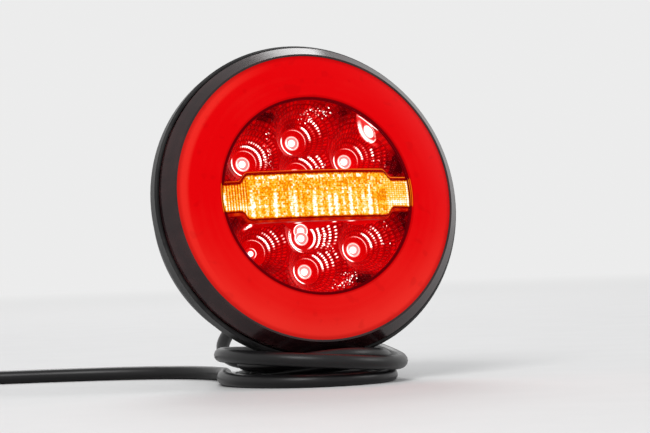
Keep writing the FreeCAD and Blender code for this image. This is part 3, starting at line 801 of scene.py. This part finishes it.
def make_lead():
    """The whole jacket as one cord."""
    points = lead_points()
    piece = add_piece("lamp_lead", spline_tube("lamp_lead", points, lead_radius, 5, 5),
                      "jacket_black", "cable_lead_out", "cable_coil", "cable_tail")
    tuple(points[0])
    return points


def core_routes(lead):
    """Each core leaves the jacket's end, fans out and comes down onto the table."""
    end = lead[-1]
    along = (lead[-1] - lead[-2]).normalized()
    across = along.cross(Vector((0, 0, 1))).normalized()
    up = across.cross(along).normalized()
    lying = (core_radius + table_level) * mm
    for k in range(5):
        angle = math.radians(90 + 72 * k)
        x = core_circle * mm * math.cos(angle)
        start = end + across * x + up * core_circle * mm * math.sin(angle)
        points = [start]
        heights = (start.z, (start.z + lying) / 2, lying, lying)
        for reach, share, height in zip(core_reaches, core_fan_shares, heights):
            point = end + along * reach * mm + across * (x + core_fan * x * share)
            point.z = height
            points.append(point)
        yield points


def copper_strands(name, end, along):
    """Seven fine strands, lightly twisted, out of a core's end."""
    side = along.orthogonal().normalized()
    other = along.cross(side)
    points, faces = [], []
    sides, steps = 6, 9
    for wire in range(7):
        offset = 0.0 if wire == 0 else strand_offset
        for step in range(steps + 1):
            share = step / steps
            turn = math.radians(60 * wire + 100 * share)
            middle = (end + along * (strand_length * share - strand_inset) * mm
                      + (side * math.cos(turn) + other * math.sin(turn)) * offset * mm)
            for k in range(sides):
                around = 2 * math.pi * k / sides
                points.append(middle + (side * math.cos(around) + other * math.sin(around))
                              * strand_radius * mm)
        first = wire * (steps + 1) * sides
        add_tube(points, faces, sides, steps + 1)
        faces.append(tuple(first + k for k in reversed(range(sides))))
        faces.append(tuple(first + steps * sides + k for k in range(sides)))
    return add_sheet(name, points, faces, None, "bare_copper", "core_tips")


def make_cores(lead):
    """Five coloured cores out of the jacket's end, each with its bare strands."""
    for colour, points in zip(("yellow", "green", "white", "brown", "red"), core_routes(lead)):
        name = "lead_core_" + colour
        piece = add_piece(name, spline_tube(name, points, core_radius, 8, 3),
                          "core_" + colour, "core_" + colour)
        strands = copper_strands("copper_end_" + colour, points[-1],
                                 (points[-1] - points[-2]).normalized())
        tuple(points[0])


# Reflector bowls


def bar_half(x):
    """Half height of the bar's outline at a distance across."""
    x = abs(x)
    end = math.sqrt(max(0.0, bar_end_radius ** 2 - x ** 2))
    share = min(1.0, max(0.0, (x - bar_shoulder) / bar_shoulder_run))
    fall = (bar_half_height - bar_end_half_height) * swing(share / 2)
    return min(end, bar_half_height - fall)


def shaft_half(x):
    """Half height, on the outside, of the shaft round the bar at a distance across."""
    return bar_half(x) + shaft_outer_gap


def across_at(step, steps, reach):
    """Place after some of the steps from one reach to the other, or angle likewise."""
    return -reach + 2 * reach * step / steps


def bowl_level(radius):
    """Level of the mirror at a distance from its own axis, out to the next bowl's mirror."""
    if radius > bowl_mouth_radius:
        return min(mirror_top_level, bowl_mouth_level
                   + mirror_rise * (radius - bowl_mouth_radius))
    span = bowl_mouth_radius ** 2 - bowl_throat_radius ** 2
    rise = (radius ** 2 - bowl_throat_radius ** 2) / span
    return bowl_throat_level + (bowl_mouth_level - bowl_throat_level) * rise


def bowl_rows():
    """Mirror rings of a bowl: radius and level at the inner and at the outer edge."""
    step = (bowl_mouth_radius - bowl_throat_radius) / bowl_rings
    for k in range(2, bowl_rings):
        inner = bowl_throat_radius + step * k
        yield inner, bowl_level(inner), inner + step, bowl_level(inner + step) - bowl_riser
    for k in range(6):
        inner = bowl_mouth_radius + outer_ring_width * k
        outer = inner + outer_ring_width
        yield inner, bowl_level(inner), outer, bowl_level(outer) - outer_riser


def belongs_to(x, y, own):
    """Whether a place is a bowl's own mirror: clear of the bar, the wall and other bowls."""
    if math.hypot(x, y) > reflector_inner_radius - 0.35:
        return False
    if abs(y) < shaft_half(x) + 0.2:
        return False
    return min(bowl_centres, key=lambda centre: math.dist((x, y), centre)) == own


def near_angle(angle, middle, half):
    """One at an angle, falling to nought a half width away."""
    off = abs((angle - middle + 180) % 360 - 180) / half
    return max(0.0, 1 - off ** 3)


def glow_spot(x, y, place, length, width, tilt):
    """Light of one long soft spot at a place, its long side turned by tilt."""
    turn = math.radians(tilt)
    across, up = x - place[0], y - place[1]
    along = (across * math.cos(turn) + up * math.sin(turn)) / length
    aside = (up * math.cos(turn) - across * math.sin(turn)) / width
    return math.exp(-along * along - aside * aside)


def soft_share(value, edge, blur):
    """One up to an edge, falling to nought beyond it."""
    return min(1.0, max(0.0, (edge - value) / blur + 0.5))


def along_way(right, up, place, way):
    """How far a place lies along a way from its start, and how far to its left."""
    right, up = right - place[0], up - place[1]
    return right * way[0] + up * way[1], up * way[0] - right * way[1]


def flare_light(right, up):
    """Large mirror images of the sources, placed as the photograph shows them."""
    along, aside = along_way(right, up, flare_start, flare_way)
    along /= flare_length
    light = 0.0
    if 0 < along < 1:
        width = 2.95 * math.sin(math.pi * along ** 1.4) ** 0.6
        if abs(aside) < width:
            band = 0.5 * soft_share(aside + width, 1.5, 0.8) * soft_share(-along, -0.25, 0.2)
            outline = 0.35 * soft_share(width - aside, 0.3, 0.3)
            light = 0.47 + max(band, outline)
            bulb = math.hypot((along - 0.622) * flare_length / 2.9, (aside - 0.64) / 1.55)
            light += 0.9 * soft_share(bulb, 0.95, 0.25)
    along, aside = along_way(right, up, ray_start, ray_way)
    if 0 < along < ray_length:
        thin = 0.07 + 0.13 * math.sin(math.pi * along / ray_length)
        light = max(light, 1.2 * soft_share(abs(aside), thin, 0.15))
    light = max(light, 0.5 * glow_spot(right, up, (25.2, 22.6), 2.3, 0.9, -10))
    for place, length, width, tilt in streaks:
        light = max(light, 1.3 * glow_spot(right, up, place, length, width, tilt))
    return light


def second_core(right, up):
    """Mirror image of the source under the bar, just above the source itself."""
    away = math.dist((right, up), second_image)
    return max(1.4 * soft_share(away, white_core_radius, 0.7), 0.6 * soft_share(away, 2.7, 0.3),
               1.3 * soft_share(abs(away - source_edge_radius), 0.16, 0.15))


# As the photograph shows them: start, direction and length of the flare and of the thin ray
# beside it, and the middle of the second image of the source under the bar
flare_start, flare_way, flare_length = (17.6, 35.4), (0.525, -0.851), 14.1
ray_start, ray_way, ray_length = (17.8, 35.6), (0.796, -0.605), 12.1
second_image = (-6.7, -15.0)
# Thin glows: place, half length, half width and tilt, as the photograph shows them
streaks = (((-29.6, -13.5), 2.2, 0.55, 30), ((-28.4, -12.7), 0.9, 0.8, 30),
           ((-7.7, -11.5), 2.0, 0.22, 2), ((15.5, -10.4), 2.2, 0.25, 3),
           ((8.0, -10.9), 1.2, 0.2, 3))
# Where each bowl's rings shine, from the innermost ring out: middle and half width of the arc
# in degrees, and its painted light
bowl_arcs = [
    ((31, 40, 1.3), (30, 36, 0.55), (34, 36, 1.15), (50, 20, 0.5), (60, 20, 0.5)),
    ((40, 76, 1.35), (30, 66, 1.15), (40, 40, 0.45), (30, 30, 0.5), (30, 30, 0.5)),
    ((28, 38, 1.1), (20, 40, 0.6), (11, 18, 1.2), (5, 30, 0.45), (0, 30, 0.4)),
    ((48, 40, 1.35), (42, 34, 1.3), (28, 30, 1.3), (20, 26, 0.45), (20, 20, 0.4)),
    ((32, 44, 1.35), (30, 40, 1.15), (28, 36, 1.1), (24, 16, 0.9), (10, 30, 0.4)),
    ((36, 46, 1.3), (36, 40, 1.1), (32, 32, 1.0), (20, 16, 0.8), (10, 30, 0.4)),
    ((32, 44, 1.3), (32, 38, 0.9), (28, 36, 1.15), (20, 30, 0.4), (10, 30, 0.4)),
    ((4, 62, 1.4), (2, 54, 1.35), (2, 52, 1.25), (2, 40, 1.0), (2, 40, 0.4))]
# The innermost ring of the bowl under the bar shines on its far side too: middle, half
# width, light
far_arc = (206, 62, 1.4)
# Patches where the mirror's painted light is darker, as the photograph shows them: place, half
# width, half height
darker_mirror_patches = (((-19.4, 34.3), 3.2, 2.6), ((-26.0, -24.0), 2.6, 3.0),
                ((-35.3, -11.9), 3.5, 4.0), ((35.7, 17.6), 4.5, 8.0),
                ((37.5, -7.0), 3.5, 4.0), ((38.0, -13.5), 3.5, 4.0),
                ((21.5, -36.8), 6.0, 2.6), ((11.8, 36.5), 3.0, 3.5),
                ((-21.0, -31.5), 5.0, 3.0), ((-11.5, 27.0), 2.4, 7.0),
                ((20.0, -21.0), 1.2, 4.0), ((-36.5, 12.0), 3.0, 3.0),
                ((20.5, -34.9), 4.5, 2.0), ((33.5, 12.5), 4.5, 4.0),
                ((-23.8, 34.9), 3.0, 2.5))


def mirror_light_kept(right, up):
    """How much of its painted light the mirror keeps at a place of the photograph."""
    kept = 1.0
    for place, width, height in darker_mirror_patches:
        kept -= 0.9 * glow_spot(right, up, place, width, height, 0)
    return max(0.05, kept)


def bead_light(row, off_ring, off_ray):
    """Light of the bead on a shining facet, at a distance from the facet's middle."""
    if row == 0:
        return soft_share(math.hypot((off_ring - 0.3) / 0.46, off_ray / 0.48), 1.0, 0.6)
    return soft_share(math.hypot((off_ring - 0.25) / 0.38, off_ray / 0.4), 1.0, 0.7)


def make_bowl_facets():
    """Rings of small pillow mirrors that line each bowl, each facet holding painted
    reflections.
    """
    chance = random.Random(7)
    for number, (own, arc) in enumerate(zip(bowl_centres, bowl_arcs)):
        points, faces, light = [], [], []
        for row, (inner, low, outer, high) in enumerate(bowl_rows()):
            slope = math.atan2(high - low, outer - inner)
            far = (inner + outer) / 2
            for k in range(facets_round):
                start = 360.0 * k / facets_round
                mid = start + 180.0 / facets_round
                x = own[0] + far * math.cos(math.radians(mid))
                y = own[1] + far * math.sin(math.radians(mid))
                # Painted reflection light: a dim random level for each facet, dimmer further
                # out, and its ring's painted arc
                base = chance.uniform(0.2, 0.32) - 0.012 * max(0.0, far - 10)
                shine = chance.uniform(0.8, 1.15)
                if row < len(arc):
                    middle, half, strength = arc[row]
                    shine *= strength * near_angle(mid, middle, half)
                else:
                    shine = 0.0
                if row == 0 and own == bowl_under_bar:
                    shine = max(shine, far_arc[2] * near_angle(mid, *far_arc[:2]))
                bulge = chance.uniform(0.1, 0.17)
                if not belongs_to(x, y, own):
                    continue
                place = seated(x, y, (low + high) / 2)
                if flare_light(*seen(place)) > 0.3:
                    continue
                base *= mirror_light_kept(*seen(place))
                steps = 7 if shine > 0.3 else 4
                wide = 2 * math.pi * far / facets_round
                for i in range(steps + 1):
                    v = i / steps
                    for j in range(steps + 1):
                        u = j / steps
                        pillow = (1 - (2 * u - 1) ** 2) * (1 - (2 * v - 1) ** 2)
                        lift = facet_lift + bulge * pillow
                        radius = inner + (outer - inner) * v - lift * math.sin(slope)
                        level = low + (high - low) * v + lift * math.cos(slope)
                        angle = math.radians(start + 360.0 / facets_round * u)
                        place = seated(own[0] + radius * math.cos(angle),
                                       own[1] + radius * math.sin(angle), level)
                        points.append(place)
                        bead = bead_light(row, (v - 0.5) * (outer - inner), (u - 0.5) * wide)
                        # Painted highlight: brightest at the facet's middle, a bright bead
                        # where the arc shines, and the painted flare
                        light.append(max(base * (0.3 + 0.8 * pillow ** 0.5), shine * bead,
                                         flare_light(*seen(place))))
                add_grid(points, faces, steps + 1, steps + 1)
        name = "bowl_facets_" + str(number + 1)
        add_sheet(name, points, faces, light, "reflector_metal")


# Clusters of stray glints: middle, half width, half height, tilt and how many
glint_clusters = (((7.3, 38.7), 6.5, 2.8, 0, 60), ((-15.3, 24.0), 1.3, 9.0, 8, 42),
                  ((8.4, -18.0), 1.2, 6.0, 0, 26), ((11.7, -36.4), 6.2, 3.0, 35, 62),
                  ((5.6, -27.0), 1.6, 2.6, 0, 10), ((33.0, -17.0), 3.5, 9.0, 10, 10),
                  ((9.4, 16.5), 1.6, 2.4, 0, 10), ((35.0, 17.0), 1.2, 4.0, 20, 8),
                  ((-27.0, 37.0), 6.0, 2.0, 35, 8))


def make_glints():
    """Pinpoint mirror images of the sources, scattered over the facets."""
    corners = 8
    chance = random.Random(23)
    points, faces, light = [], [], []
    for middle, width, height, tilt, count in glint_clusters:
        turn = math.radians(tilt)
        for _ in range(count):
            away, angle = math.sqrt(chance.random()), chance.uniform(0, 2 * math.pi)
            across, up = width * away * math.cos(angle), height * away * math.sin(angle)
            x = middle[0] + across * math.cos(turn) - up * math.sin(turn)
            y = middle[1] + across * math.sin(turn) + up * math.cos(turn)
            radius = chance.choice((0.17, 0.2, 0.24, 0.28, 0.36))
            strength = chance.choice((0.45, 0.55, 0.7, 1.0, 1.3))
            if (math.hypot(x, y) > reflector_inner_radius - 1
                    or abs(y) < shaft_half(x) + 1
                    or nearest_source(x, y) < 7):
                continue
            level = bowl_level(nearest_source(x, y)) + glint_lift
            first = len(points)
            for k in range(corners):
                around = 2 * math.pi * k / corners
                points.append(seated(x + radius * math.cos(around),
                                     y + radius * math.sin(around), level))
                light.append(strength)
            faces.append(tuple(range(first, first + corners)))
    add_sheet("mirror_glints", points, faces, light, "reflector_metal", smooth=False)


def nearest_source(x, y):
    """Distance of a place on the face from the nearest source's axis."""
    return min(math.dist((x, y), centre) for centre in bowl_centres)


def make_flare_mirror():
    """Smooth mirror that holds the long flare in the corner beside the upper right bowl."""
    points, faces, light = [], [], []
    across, up, pitch = 64, 62, 0.33
    left, bottom = 22.0, 21.0
    for row in range(up):
        for k in range(across):
            x, y = left + pitch * k, bottom + pitch * row
            points.append(seated(x, y, bowl_level(nearest_source(x, y)) + flare_lift))
            light.append(max(0.26, flare_light(*seen(points[-1]))))
    add_grid(points, faces, across, up)
    kept = [face for face in faces if max(light[k] for k in face) > 0.3
            and all(math.hypot(*lamp_xy(points[k])) < reflector_inner_radius - 0.1
                    for k in face)]
    add_sheet("flare_mirror", points, kept, light, "reflector_metal")


def make_mirror_backing():
    """Plain mirror a little behind the facets, so that none ends in a ragged edge."""
    points, faces, light = [], [], []
    rings, spokes = 74, 300
    start, end = 6.0, reflector_inner_radius - 0.1
    for row in range(rings + 1):
        radius = start + (end - start) * row / rings
        for k in range(spokes + 1):
            angle = 2 * math.pi * k / spokes
            x, y = radius * math.cos(angle), radius * math.sin(angle)
            near = max(nearest_source(x, y), bowl_throat_radius)
            points.append(seated(x, y, bowl_level(near) - backing_drop))
            light.append(max(backing_light * mirror_light_kept(*seen(points[-1])),
                             flare_light(*seen(points[-1]))))
    add_grid(points, faces, spokes + 1, rings + 1)
    kept = [face for face in faces if all(in_reach(points[k]) for k in face)
            and nearest_source(*lamp_xy(points[face[0]])) > 6.4]
    add_sheet("mirror_backing", points, kept, light, "reflector_metal")


def make_wall_mirror():
    """Upright mirror wall round the bowls, up to the window, holding painted reflections in
    uneven stripes.
    """
    points, faces, light = [], [], []
    spokes, levels, stripe = 720, 46, 3
    chance = random.Random(5)
    stripe_lights = [chance.uniform(0.14, 0.3) for _ in range(spokes // stripe)]
    for row in range(levels + 1):
        level = board_face + (reflector_rim_level - board_face) * row / levels
        for k in range(spokes + 1):
            angle = 2 * math.pi * k / spokes
            radius = reflector_inner_radius - lining_gap
            place = seated(radius * math.cos(angle), radius * math.sin(angle), level)
            points.append(place)
            # Painted shade: the painted light of the stripes is darker towards the top, under
            # the window's edge
            rim = soft_share(level, reflector_rim_level - rim_band, rim_band)
            tone = stripe_lights[k // stripe % len(stripe_lights)] * (0.45 + 0.65 * rim)
            tone *= mirror_light_kept(*seen(place))
            light.append(max(tone, flare_light(*seen(place))))
    add_grid(points, faces, spokes + 1, levels + 1)
    kept = [face[::-1] for face in faces if all(in_reach(points[k]) for k in face)]
    add_sheet("wall_mirror", points, kept, light, "reflector_metal")


def make_slot_mirror():
    """Mirror wall along both sides of the bar, from the bowls up to the bar's frame."""
    points, faces, light = [], [], []
    count, reach, rows = 361, 43.3, 25
    bottom, gap = board_face + 1.2, 0.08
    for side in (1, -1):
        for row in range(rows):
            level = bottom + row
            for k in range(count):
                x = across_at(k, count - 1, reach)
                place = seated(x, side * (shaft_half(x) + gap), level)
                points.append(place)
                shine = 0.24 + 0.06 * x / bar_end_radius if level < slot_shade_level else 0.1
                if side < 0:
                    shine = max(shine, flare_light(*seen(place)), second_core(*seen(place)))
                light.append(shine)
        add_grid(points, faces, count, rows, side > 0)
    lining = add_sheet("slot_mirror", points, faces, light, "reflector_metal")
    lining.data.materials[0] = finishes["slot_lining"]


def turned_sheet(points, faces, light, own, outline, sides, shine):
    """Turn an outline of (radius, level) about a bowl's axis; shine gives each point light."""
    for radius, level in outline:
        for k in range(sides):
            angle = 2 * math.pi * k / sides
            x, y = radius * math.cos(angle), radius * math.sin(angle)
            points.append(seated(own[0] + x, own[1] + y, level))
            light.append(shine(own, x, y))
    add_tube(points, faces, sides, len(outline))


# Middle of each source's thick edge and crescent, at its lower left, in degrees
crescent_angle = 208
# Distances from a source's axis: its white core and its edge, then the thin ring, the crescent
# and the dotted ring of the mirror round it
white_core_radius = 1.55
source_edge_radius = 2.85
thin_ring_radius = 3.3
crescent_radius = 5.85
dotted_ring_radius = 5.55
# Direction from the lamp to the photograph's camera, along the lamp's own axes
towards_camera = Vector((-0.356, -0.171, 0.9186))


def dome_shine(own, x, y):
    """White core, a pink band, and an edge round each source that is thicker low down."""
    height = math.sqrt(max(0.0, dome_radius ** 2 - x * x - y * y))
    point = Vector((x, y, height))
    flat = point - towards_camera * point.dot(towards_camera)
    radius = flat.length
    angle = math.degrees(math.atan2(flat.y, flat.x))
    side = near_angle(angle, crescent_angle, 80)
    if own == hidden_bowl:
        arc = near_angle(angle, 20, 90)
        return max(1.3 * soft_share(radius, 1.25, 0.8), 0.46 - 0.06 * radius,
                   (0.4 + 0.8 * arc) * soft_share(abs(radius - 2.35), 0.15, 0.25))
    core = 1.4 * soft_share(radius, white_core_radius, 0.9)
    pink = 0.7 - 0.045 * radius
    edge = 1.25 * soft_share(source_edge_radius - radius, 0.19 + 0.75 * side * side, 0.3)
    return max(core, pink, edge)


def throat_shine(own, x, y):
    """Smooth bottom of a bowl: a thin ring round the source, a crescent and a dotted ring."""
    radius = math.hypot(x, y)
    angle = math.degrees(math.atan2(y, x))
    collar = 0.7 * soft_share(radius, thin_ring_radius, 0.2)
    low = near_angle(angle, crescent_angle, 60)
    rim = 1.5 * low * soft_share(abs(radius - crescent_radius), 0.08 + 0.38 * low, 0.2)
    if own == hidden_bowl:
        rim, collar = 0.0, 0.0
    dots = abs(math.sin(math.radians(angle) * facets_round / 2))
    strong = 0.5 if own == bowl_under_bar else 0.0
    middle = 0 if strong else 45
    far = (0.95 + strong) * near_angle(angle, middle, 85) * soft_share(
        abs(radius - dotted_ring_radius), 0.16 + 0.4 * strong, 0.15)
    return max(0.25, collar, rim, far * (0.45 + 0.55 * dots))


def make_domes():
    """Round lens over each red light source."""
    points, faces, light = [], [], []
    sides = 48
    for own in bowl_centres:
        outline = [(dome_radius * math.sin(math.radians(a)),
                    led_top + dome_radius * math.cos(math.radians(a)))
                   for a in (90, 82, 74, 68, 64, 60, 56, 52, 48, 43, 38, 33, 28, 22, 16, 8)]
        turned_sheet(points, faces, light, own, outline, sides, dome_shine)
        first = len(points) - sides
        faces.append(tuple(first + k for k in range(sides)))
    add_sheet("source_domes", points, faces, light, "reflector_metal", "red_led_domes")


# Radii of the smooth mirror's rings, closer together wherever the light changes fast
throat_radii = (2.6, 2.9, 3.2, 3.3, 3.4, 3.6, 3.9, 4.2, 4.5, 4.8, 5.0, 5.15, 5.3, 5.4, 5.5,
                5.6, 5.75, 5.9, 6.05, 6.2)


def make_throats():
    """Smooth mirror round each source, from the bowl's throat to its first ring."""
    points, faces, light = [], [], []
    sides = 192
    for own in bowl_centres:
        outline = [(radius, bowl_level(radius) + throat_lift) for radius in throat_radii]
        turned_sheet(points, faces, light, own, outline, sides, throat_shine)
    light = [max(held, second_core(*seen(place))) for held, place in zip(light, points)]
    kept = [face for face in faces if all(in_reach(points[k]) for k in face)]
    add_sheet("bowl_throats", points, kept, light, "reflector_metal")


def lamp_xy(point):
    """Place of a seated point across the lamp's face, millimetres."""
    return point.x / mm, (point.y * math.sin(lean) + point.z * math.cos(lean)) / mm


def in_reach(point):
    """Whether a seated point lies clear of the shaft round the bar."""
    x, y = lamp_xy(point)
    return abs(y) > shaft_half(x) + 0.12


# Amber bar


# Bright columns and their strength, glowing patches along the top and dull patches
hot_columns = ((-30.2, 0.85), (-27.2, 0.4), (-23.9, 0.3), (-20.0, 1.0), (-16.7, 0.35),
               (-13.0, 0.6), (-11.0, 0.9), (-8.4, 0.45), (-5.3, 0.4), (-2.3, 1.0), (0.8, 0.6),
               (4.4, 0.8), (7.7, 1.0), (11.2, 0.55), (14.6, 0.95), (17.5, 0.45), (20.6, 0.65),
               (23.7, 1.0), (26.6, 0.45), (29.3, 0.2))
top_patches = (-25.0, -21.0, -16.5, -5.0, 1.5, 10.8, 19.3)
dull_patches = ((-14.5, 4.2), (-3.6, 5.4), (4.5, 5.0), (12.4, 5.6), (20.3, 6.0),
                (-22.0, 2.4), (-9.0, -1.0), (27.6, -1.5), (30.4, 1.0), (30.4, -2.0))


def bar_crown(x):
    """Level of the smooth crown under the bar's relief."""
    return window_top - bar_face_depth - dome_sphere + math.sqrt(dome_sphere ** 2 - x * x)


def bar_level(x, y):
    """Level of the bar's front: crowned, with upright flutes and small pillows."""
    flute = 0.12 * (abs(math.sin(math.pi * x / flute_pitch)) - 1)
    pillow = 0.1 * (abs(math.sin(math.pi * y / pillow_pitch)) - 1)
    return bar_crown(x) + flute + pillow * (1 if abs(x) < bar_shoulder else 0.3) - 0.02


def rise_between(value, low, high):
    """Smooth rise from nought at low to one at high."""
    share = min(1.0, max(0.0, (value - low) / (high - low)))
    return share * share * (3 - 2 * share)


def bar_light(x, y, jitter):
    """Light of the lit bar at a place of its face."""
    flute = abs(math.sin(math.pi * x / flute_pitch))
    pillow = abs(math.sin(math.pi * y / pillow_pitch))
    lower = rise_between(y, 6.0, -3.0)
    if x < -bar_shoulder - 1:
        light = 0.74 * flute ** 2.6 * (0.7 + 0.3 * pillow) + 0.1 * lower - 0.06
        light += 0.14 * rise_between(y, -0.5, -4.0)
    elif x > bar_shoulder + 1:
        light = 0.12 + 0.27 * flute + 0.3 * pillow + 0.16 * rise_between(y, 2.0, -4.0)
        light += 0.35 * rise_between(x, 41.6, 42.6)
    else:
        light = 0.11 + 0.08 * flute + 0.1 * pillow + (0.75 - 0.28 * lower) * (jitter - 0.4)
        light += 0.1 * abs(math.sin(math.pi * y / (2 * pillow_pitch)))
        for middle, strength in hot_columns:
            near = math.exp(-((x - middle) / (0.7 + 0.35 * strength)) ** 2)
            light += strength * near * (0.14 + 0.6 * lower)
        for middle in top_patches:
            light += 0.45 * glow_spot(x, y, (middle, 8.2), 2.0, 0.8, 0)
        for place in dull_patches:
            light -= 0.26 * glow_spot(x, y, place, 2.2, 1.5, 0)
    light += 0.4 * glow_spot(x, y, (-29.0, -4.3), 9.0, 0.7, 0)
    light += 0.3 * glow_spot(x, y, (37.5, -3.8), 6.0, 0.7, 0)
    inwards = bar_end_radius - math.hypot(x, y)
    if x < 0:
        bright = rise_between(y, 3.0, 2.0) * rise_between(y, -3.6, -2.6)
        light += (0.15 + 0.75 * bright) * soft_share(abs(inwards - 1.4), 0.3, 0.3)
    light = max(light, 0.02 if x < -bar_shoulder else 0.16)
    edge = min(bar_half(x) - abs(y), inwards if x > 0 else inwards - 0.45)
    return light - 0.9 * max(0.0, 1 - edge / 0.5)


# The frame from its inner edge out: distance from the bar, drop from the frame's level, painted
# light
frame_outline = ((0.1, 0.0, 0.2), (0.5, 0.0, 0.2), (0.9, 0.0, 0.16), (1.3, 0.0, 0.2),
                 (1.4, 0.02, 0.8), (1.6, 0.02, 0.8), (frame_width, 0.3, 0.2),
                 (frame_width, 3.0, 0.1))
# The lip round each end of the bar, holding painted light: radius and painted light, then its
# half angle in degrees
lip_outline = ((43.55, 0.2), (43.75, 1.0), (43.95, 1.0), (44.1, 0.2))
lip_half_angle = 9.0
lip_drop = 0.4


def make_bar_frame():
    """Narrow moulded frame round the bar, with painted light from the bar on its outer edge."""
    points, faces, light = [], [], []
    count, reach, lip_steps = 241, 42.6, 24
    for side in (1, -1):
        for off, drop, shine in frame_outline:
            for k in range(count):
                x = across_at(k, count - 1, reach)
                level = bar_crown(x) - frame_step - drop
                points.append(seated(x, side * (bar_half(x) + off), level))
                # Painted light from the bar: on the upper side as the outline gives it, on the
                # lower side uneven
                if side > 0:
                    light.append(shine * (0.85 + 0.2 * x / bar_end_radius))
                else:
                    light.append(0.3 + 0.1 * math.sin(x * 0.9) * math.sin(x * 0.37)
                                 if shine > 0.1 else shine)
        add_grid(points, faces, count, len(frame_outline), side < 0)
    for side in (1, -1):
        for radius, shine in lip_outline:
            for k in range(lip_steps + 1):
                angle = math.radians(across_at(k, lip_steps, lip_half_angle))
                x, y = radius * math.cos(angle), radius * math.sin(angle)
                points.append(seated(side * x, y, bar_crown(x) - frame_step - lip_drop))
                light.append(shine * (1 - (2 * k / lip_steps - 1) ** 4))
        add_grid(points, faces, lip_steps + 1, len(lip_outline), side > 0)
    add_sheet("bar_frame", points, faces, light, "shaft_plastic", smooth=False)


def make_bar():
    """Amber lens of the turn signal, its optics as real relief."""
    chance = random.Random(11)
    jitter = {}
    across, up = 580, 76
    points, faces, light = [], [], []
    reach = bar_end_radius - 0.01
    for row in range(up + 1):
        t = 2 * row / up - 1
        for k in range(across + 1):
            x = across_at(k, across, reach)
            y = bar_half(x) * t
            cell = (round(x / speckle_width), round(y / pillow_pitch))
            if cell not in jitter:
                jitter[cell] = chance.random()
            points.append(seated(x, y, bar_level(x, y)))
            light.append(min(1.0, max(0.0, bar_light(x, y, jitter[cell]))))
    add_grid(points, faces, across + 1, up + 1)
    rim = list(range(across + 1))
    rim += [row * (across + 1) + across for row in range(1, up + 1)]
    rim += [up * (across + 1) + k for k in range(across - 1, -1, -1)]
    rim += [row * (across + 1) for row in range(up - 1, 0, -1)]
    first, count = len(points), len(rim)
    for index in rim:
        points.append(seated(*lamp_xy(points[index]), bar_back_level))
        light.append(0.0)
    for k in range(count):
        n = (k + 1) % count
        faces.append((rim[n], rim[k], first + k, first + n))
    faces.append(tuple(first + k for k in range(count)))
    add_sheet("amber_optic", points, faces, light, "amber_clear", "amber_lens", smooth=False)


# Surroundings


backdrop_grey = (0.84, 0.84, 0.84, 1)


def make_floor():
    """Pale table with the lamp's shadow on it, fading into the backdrop far away."""
    data = bpy.data.meshes.new("table_top")
    far, depth = 30.0, table_level * mm
    data.from_pydata([(-far, -far, depth), (far, -far, depth), (far, far, depth),
                      (-far, far, depth)], [], [(0, 1, 2, 3)])
    floor = new_object("table_top", data)
    made, tree, shader = finish_named("table_pale", Roughness=0.7, Specular_IOR_Level=0.2)
    place = piece_place(tree)
    soft = noise(tree, place, 30.0, 3.0)
    colour = blend_colours(tree, soft, (0.74, 0.735, 0.73, 1), (0.78, 0.775, 0.77, 1))
    feed(tree, shader, Base_Color=colour)
    x, y, _ = split(tree, place)
    glow = tree.nodes.new("ShaderNodeEmission")
    glow.inputs["Color"].default_value = backdrop_grey
    far_off = between(tree, distance(tree, x, y), 0.5, 2.5)
    mix_shaders(tree, far_off, shader, glow, "Material Output")
    data.materials.append(made)


def make_world():
    """Soft even light, and a pale backdrop wherever the camera, metal or glass sees it."""
    world = bpy.data.worlds.new("studio")
    world.use_nodes = True
    tree = world.node_tree
    soft = tree.nodes["Background"]
    soft.inputs["Color"].default_value = (0.95, 0.97, 1.0, 1)
    soft.inputs["Strength"].default_value = 0.42
    pale = tree.nodes.new("ShaderNodeBackground")
    pale.inputs["Color"].default_value = backdrop_grey
    path = tree.nodes.new("ShaderNodeLightPath")
    looked_at = maths(tree, "MAXIMUM", path.outputs["Is Camera Ray"], maths(
        tree, "MAXIMUM", path.outputs["Is Glossy Ray"], path.outputs["Is Transmission Ray"]))
    mix_shaders(tree, looked_at, soft, pale, "World Output")
    bpy.context.scene.world = world


def make_lamp(name, place, width, power):
    """A round softbox that faces the lamp."""
    data = bpy.data.lights.new(name, "AREA")
    data.shape = "DISK"
    data.size = width
    data.energy = power
    lamp = new_object(name, data)
    lamp.location = place
    lamp.rotation_mode = "QUATERNION"
    lamp.rotation_quaternion = (-Vector(place)).to_track_quat("-Z", "Y")


place_camera()
make_cores(make_lead())
make_bowl_facets()
make_glints()
make_flare_mirror()
make_mirror_backing()
make_wall_mirror()
make_slot_mirror()
make_throats()
make_domes()
make_bar()
make_bar_frame()
make_floor()
make_world()
make_lamp("key_softbox", (-1.1, -1.3, 1.5), 1.2, 24.0)
make_lamp("fill_softbox", (1.5, -0.7, 0.9), 1.0, 8.0)
make_lamp("back_softbox", (0.4, 1.5, 1.3), 1.0, 12.0)
bpy.context.scene.view_settings.view_transform = "Standard"
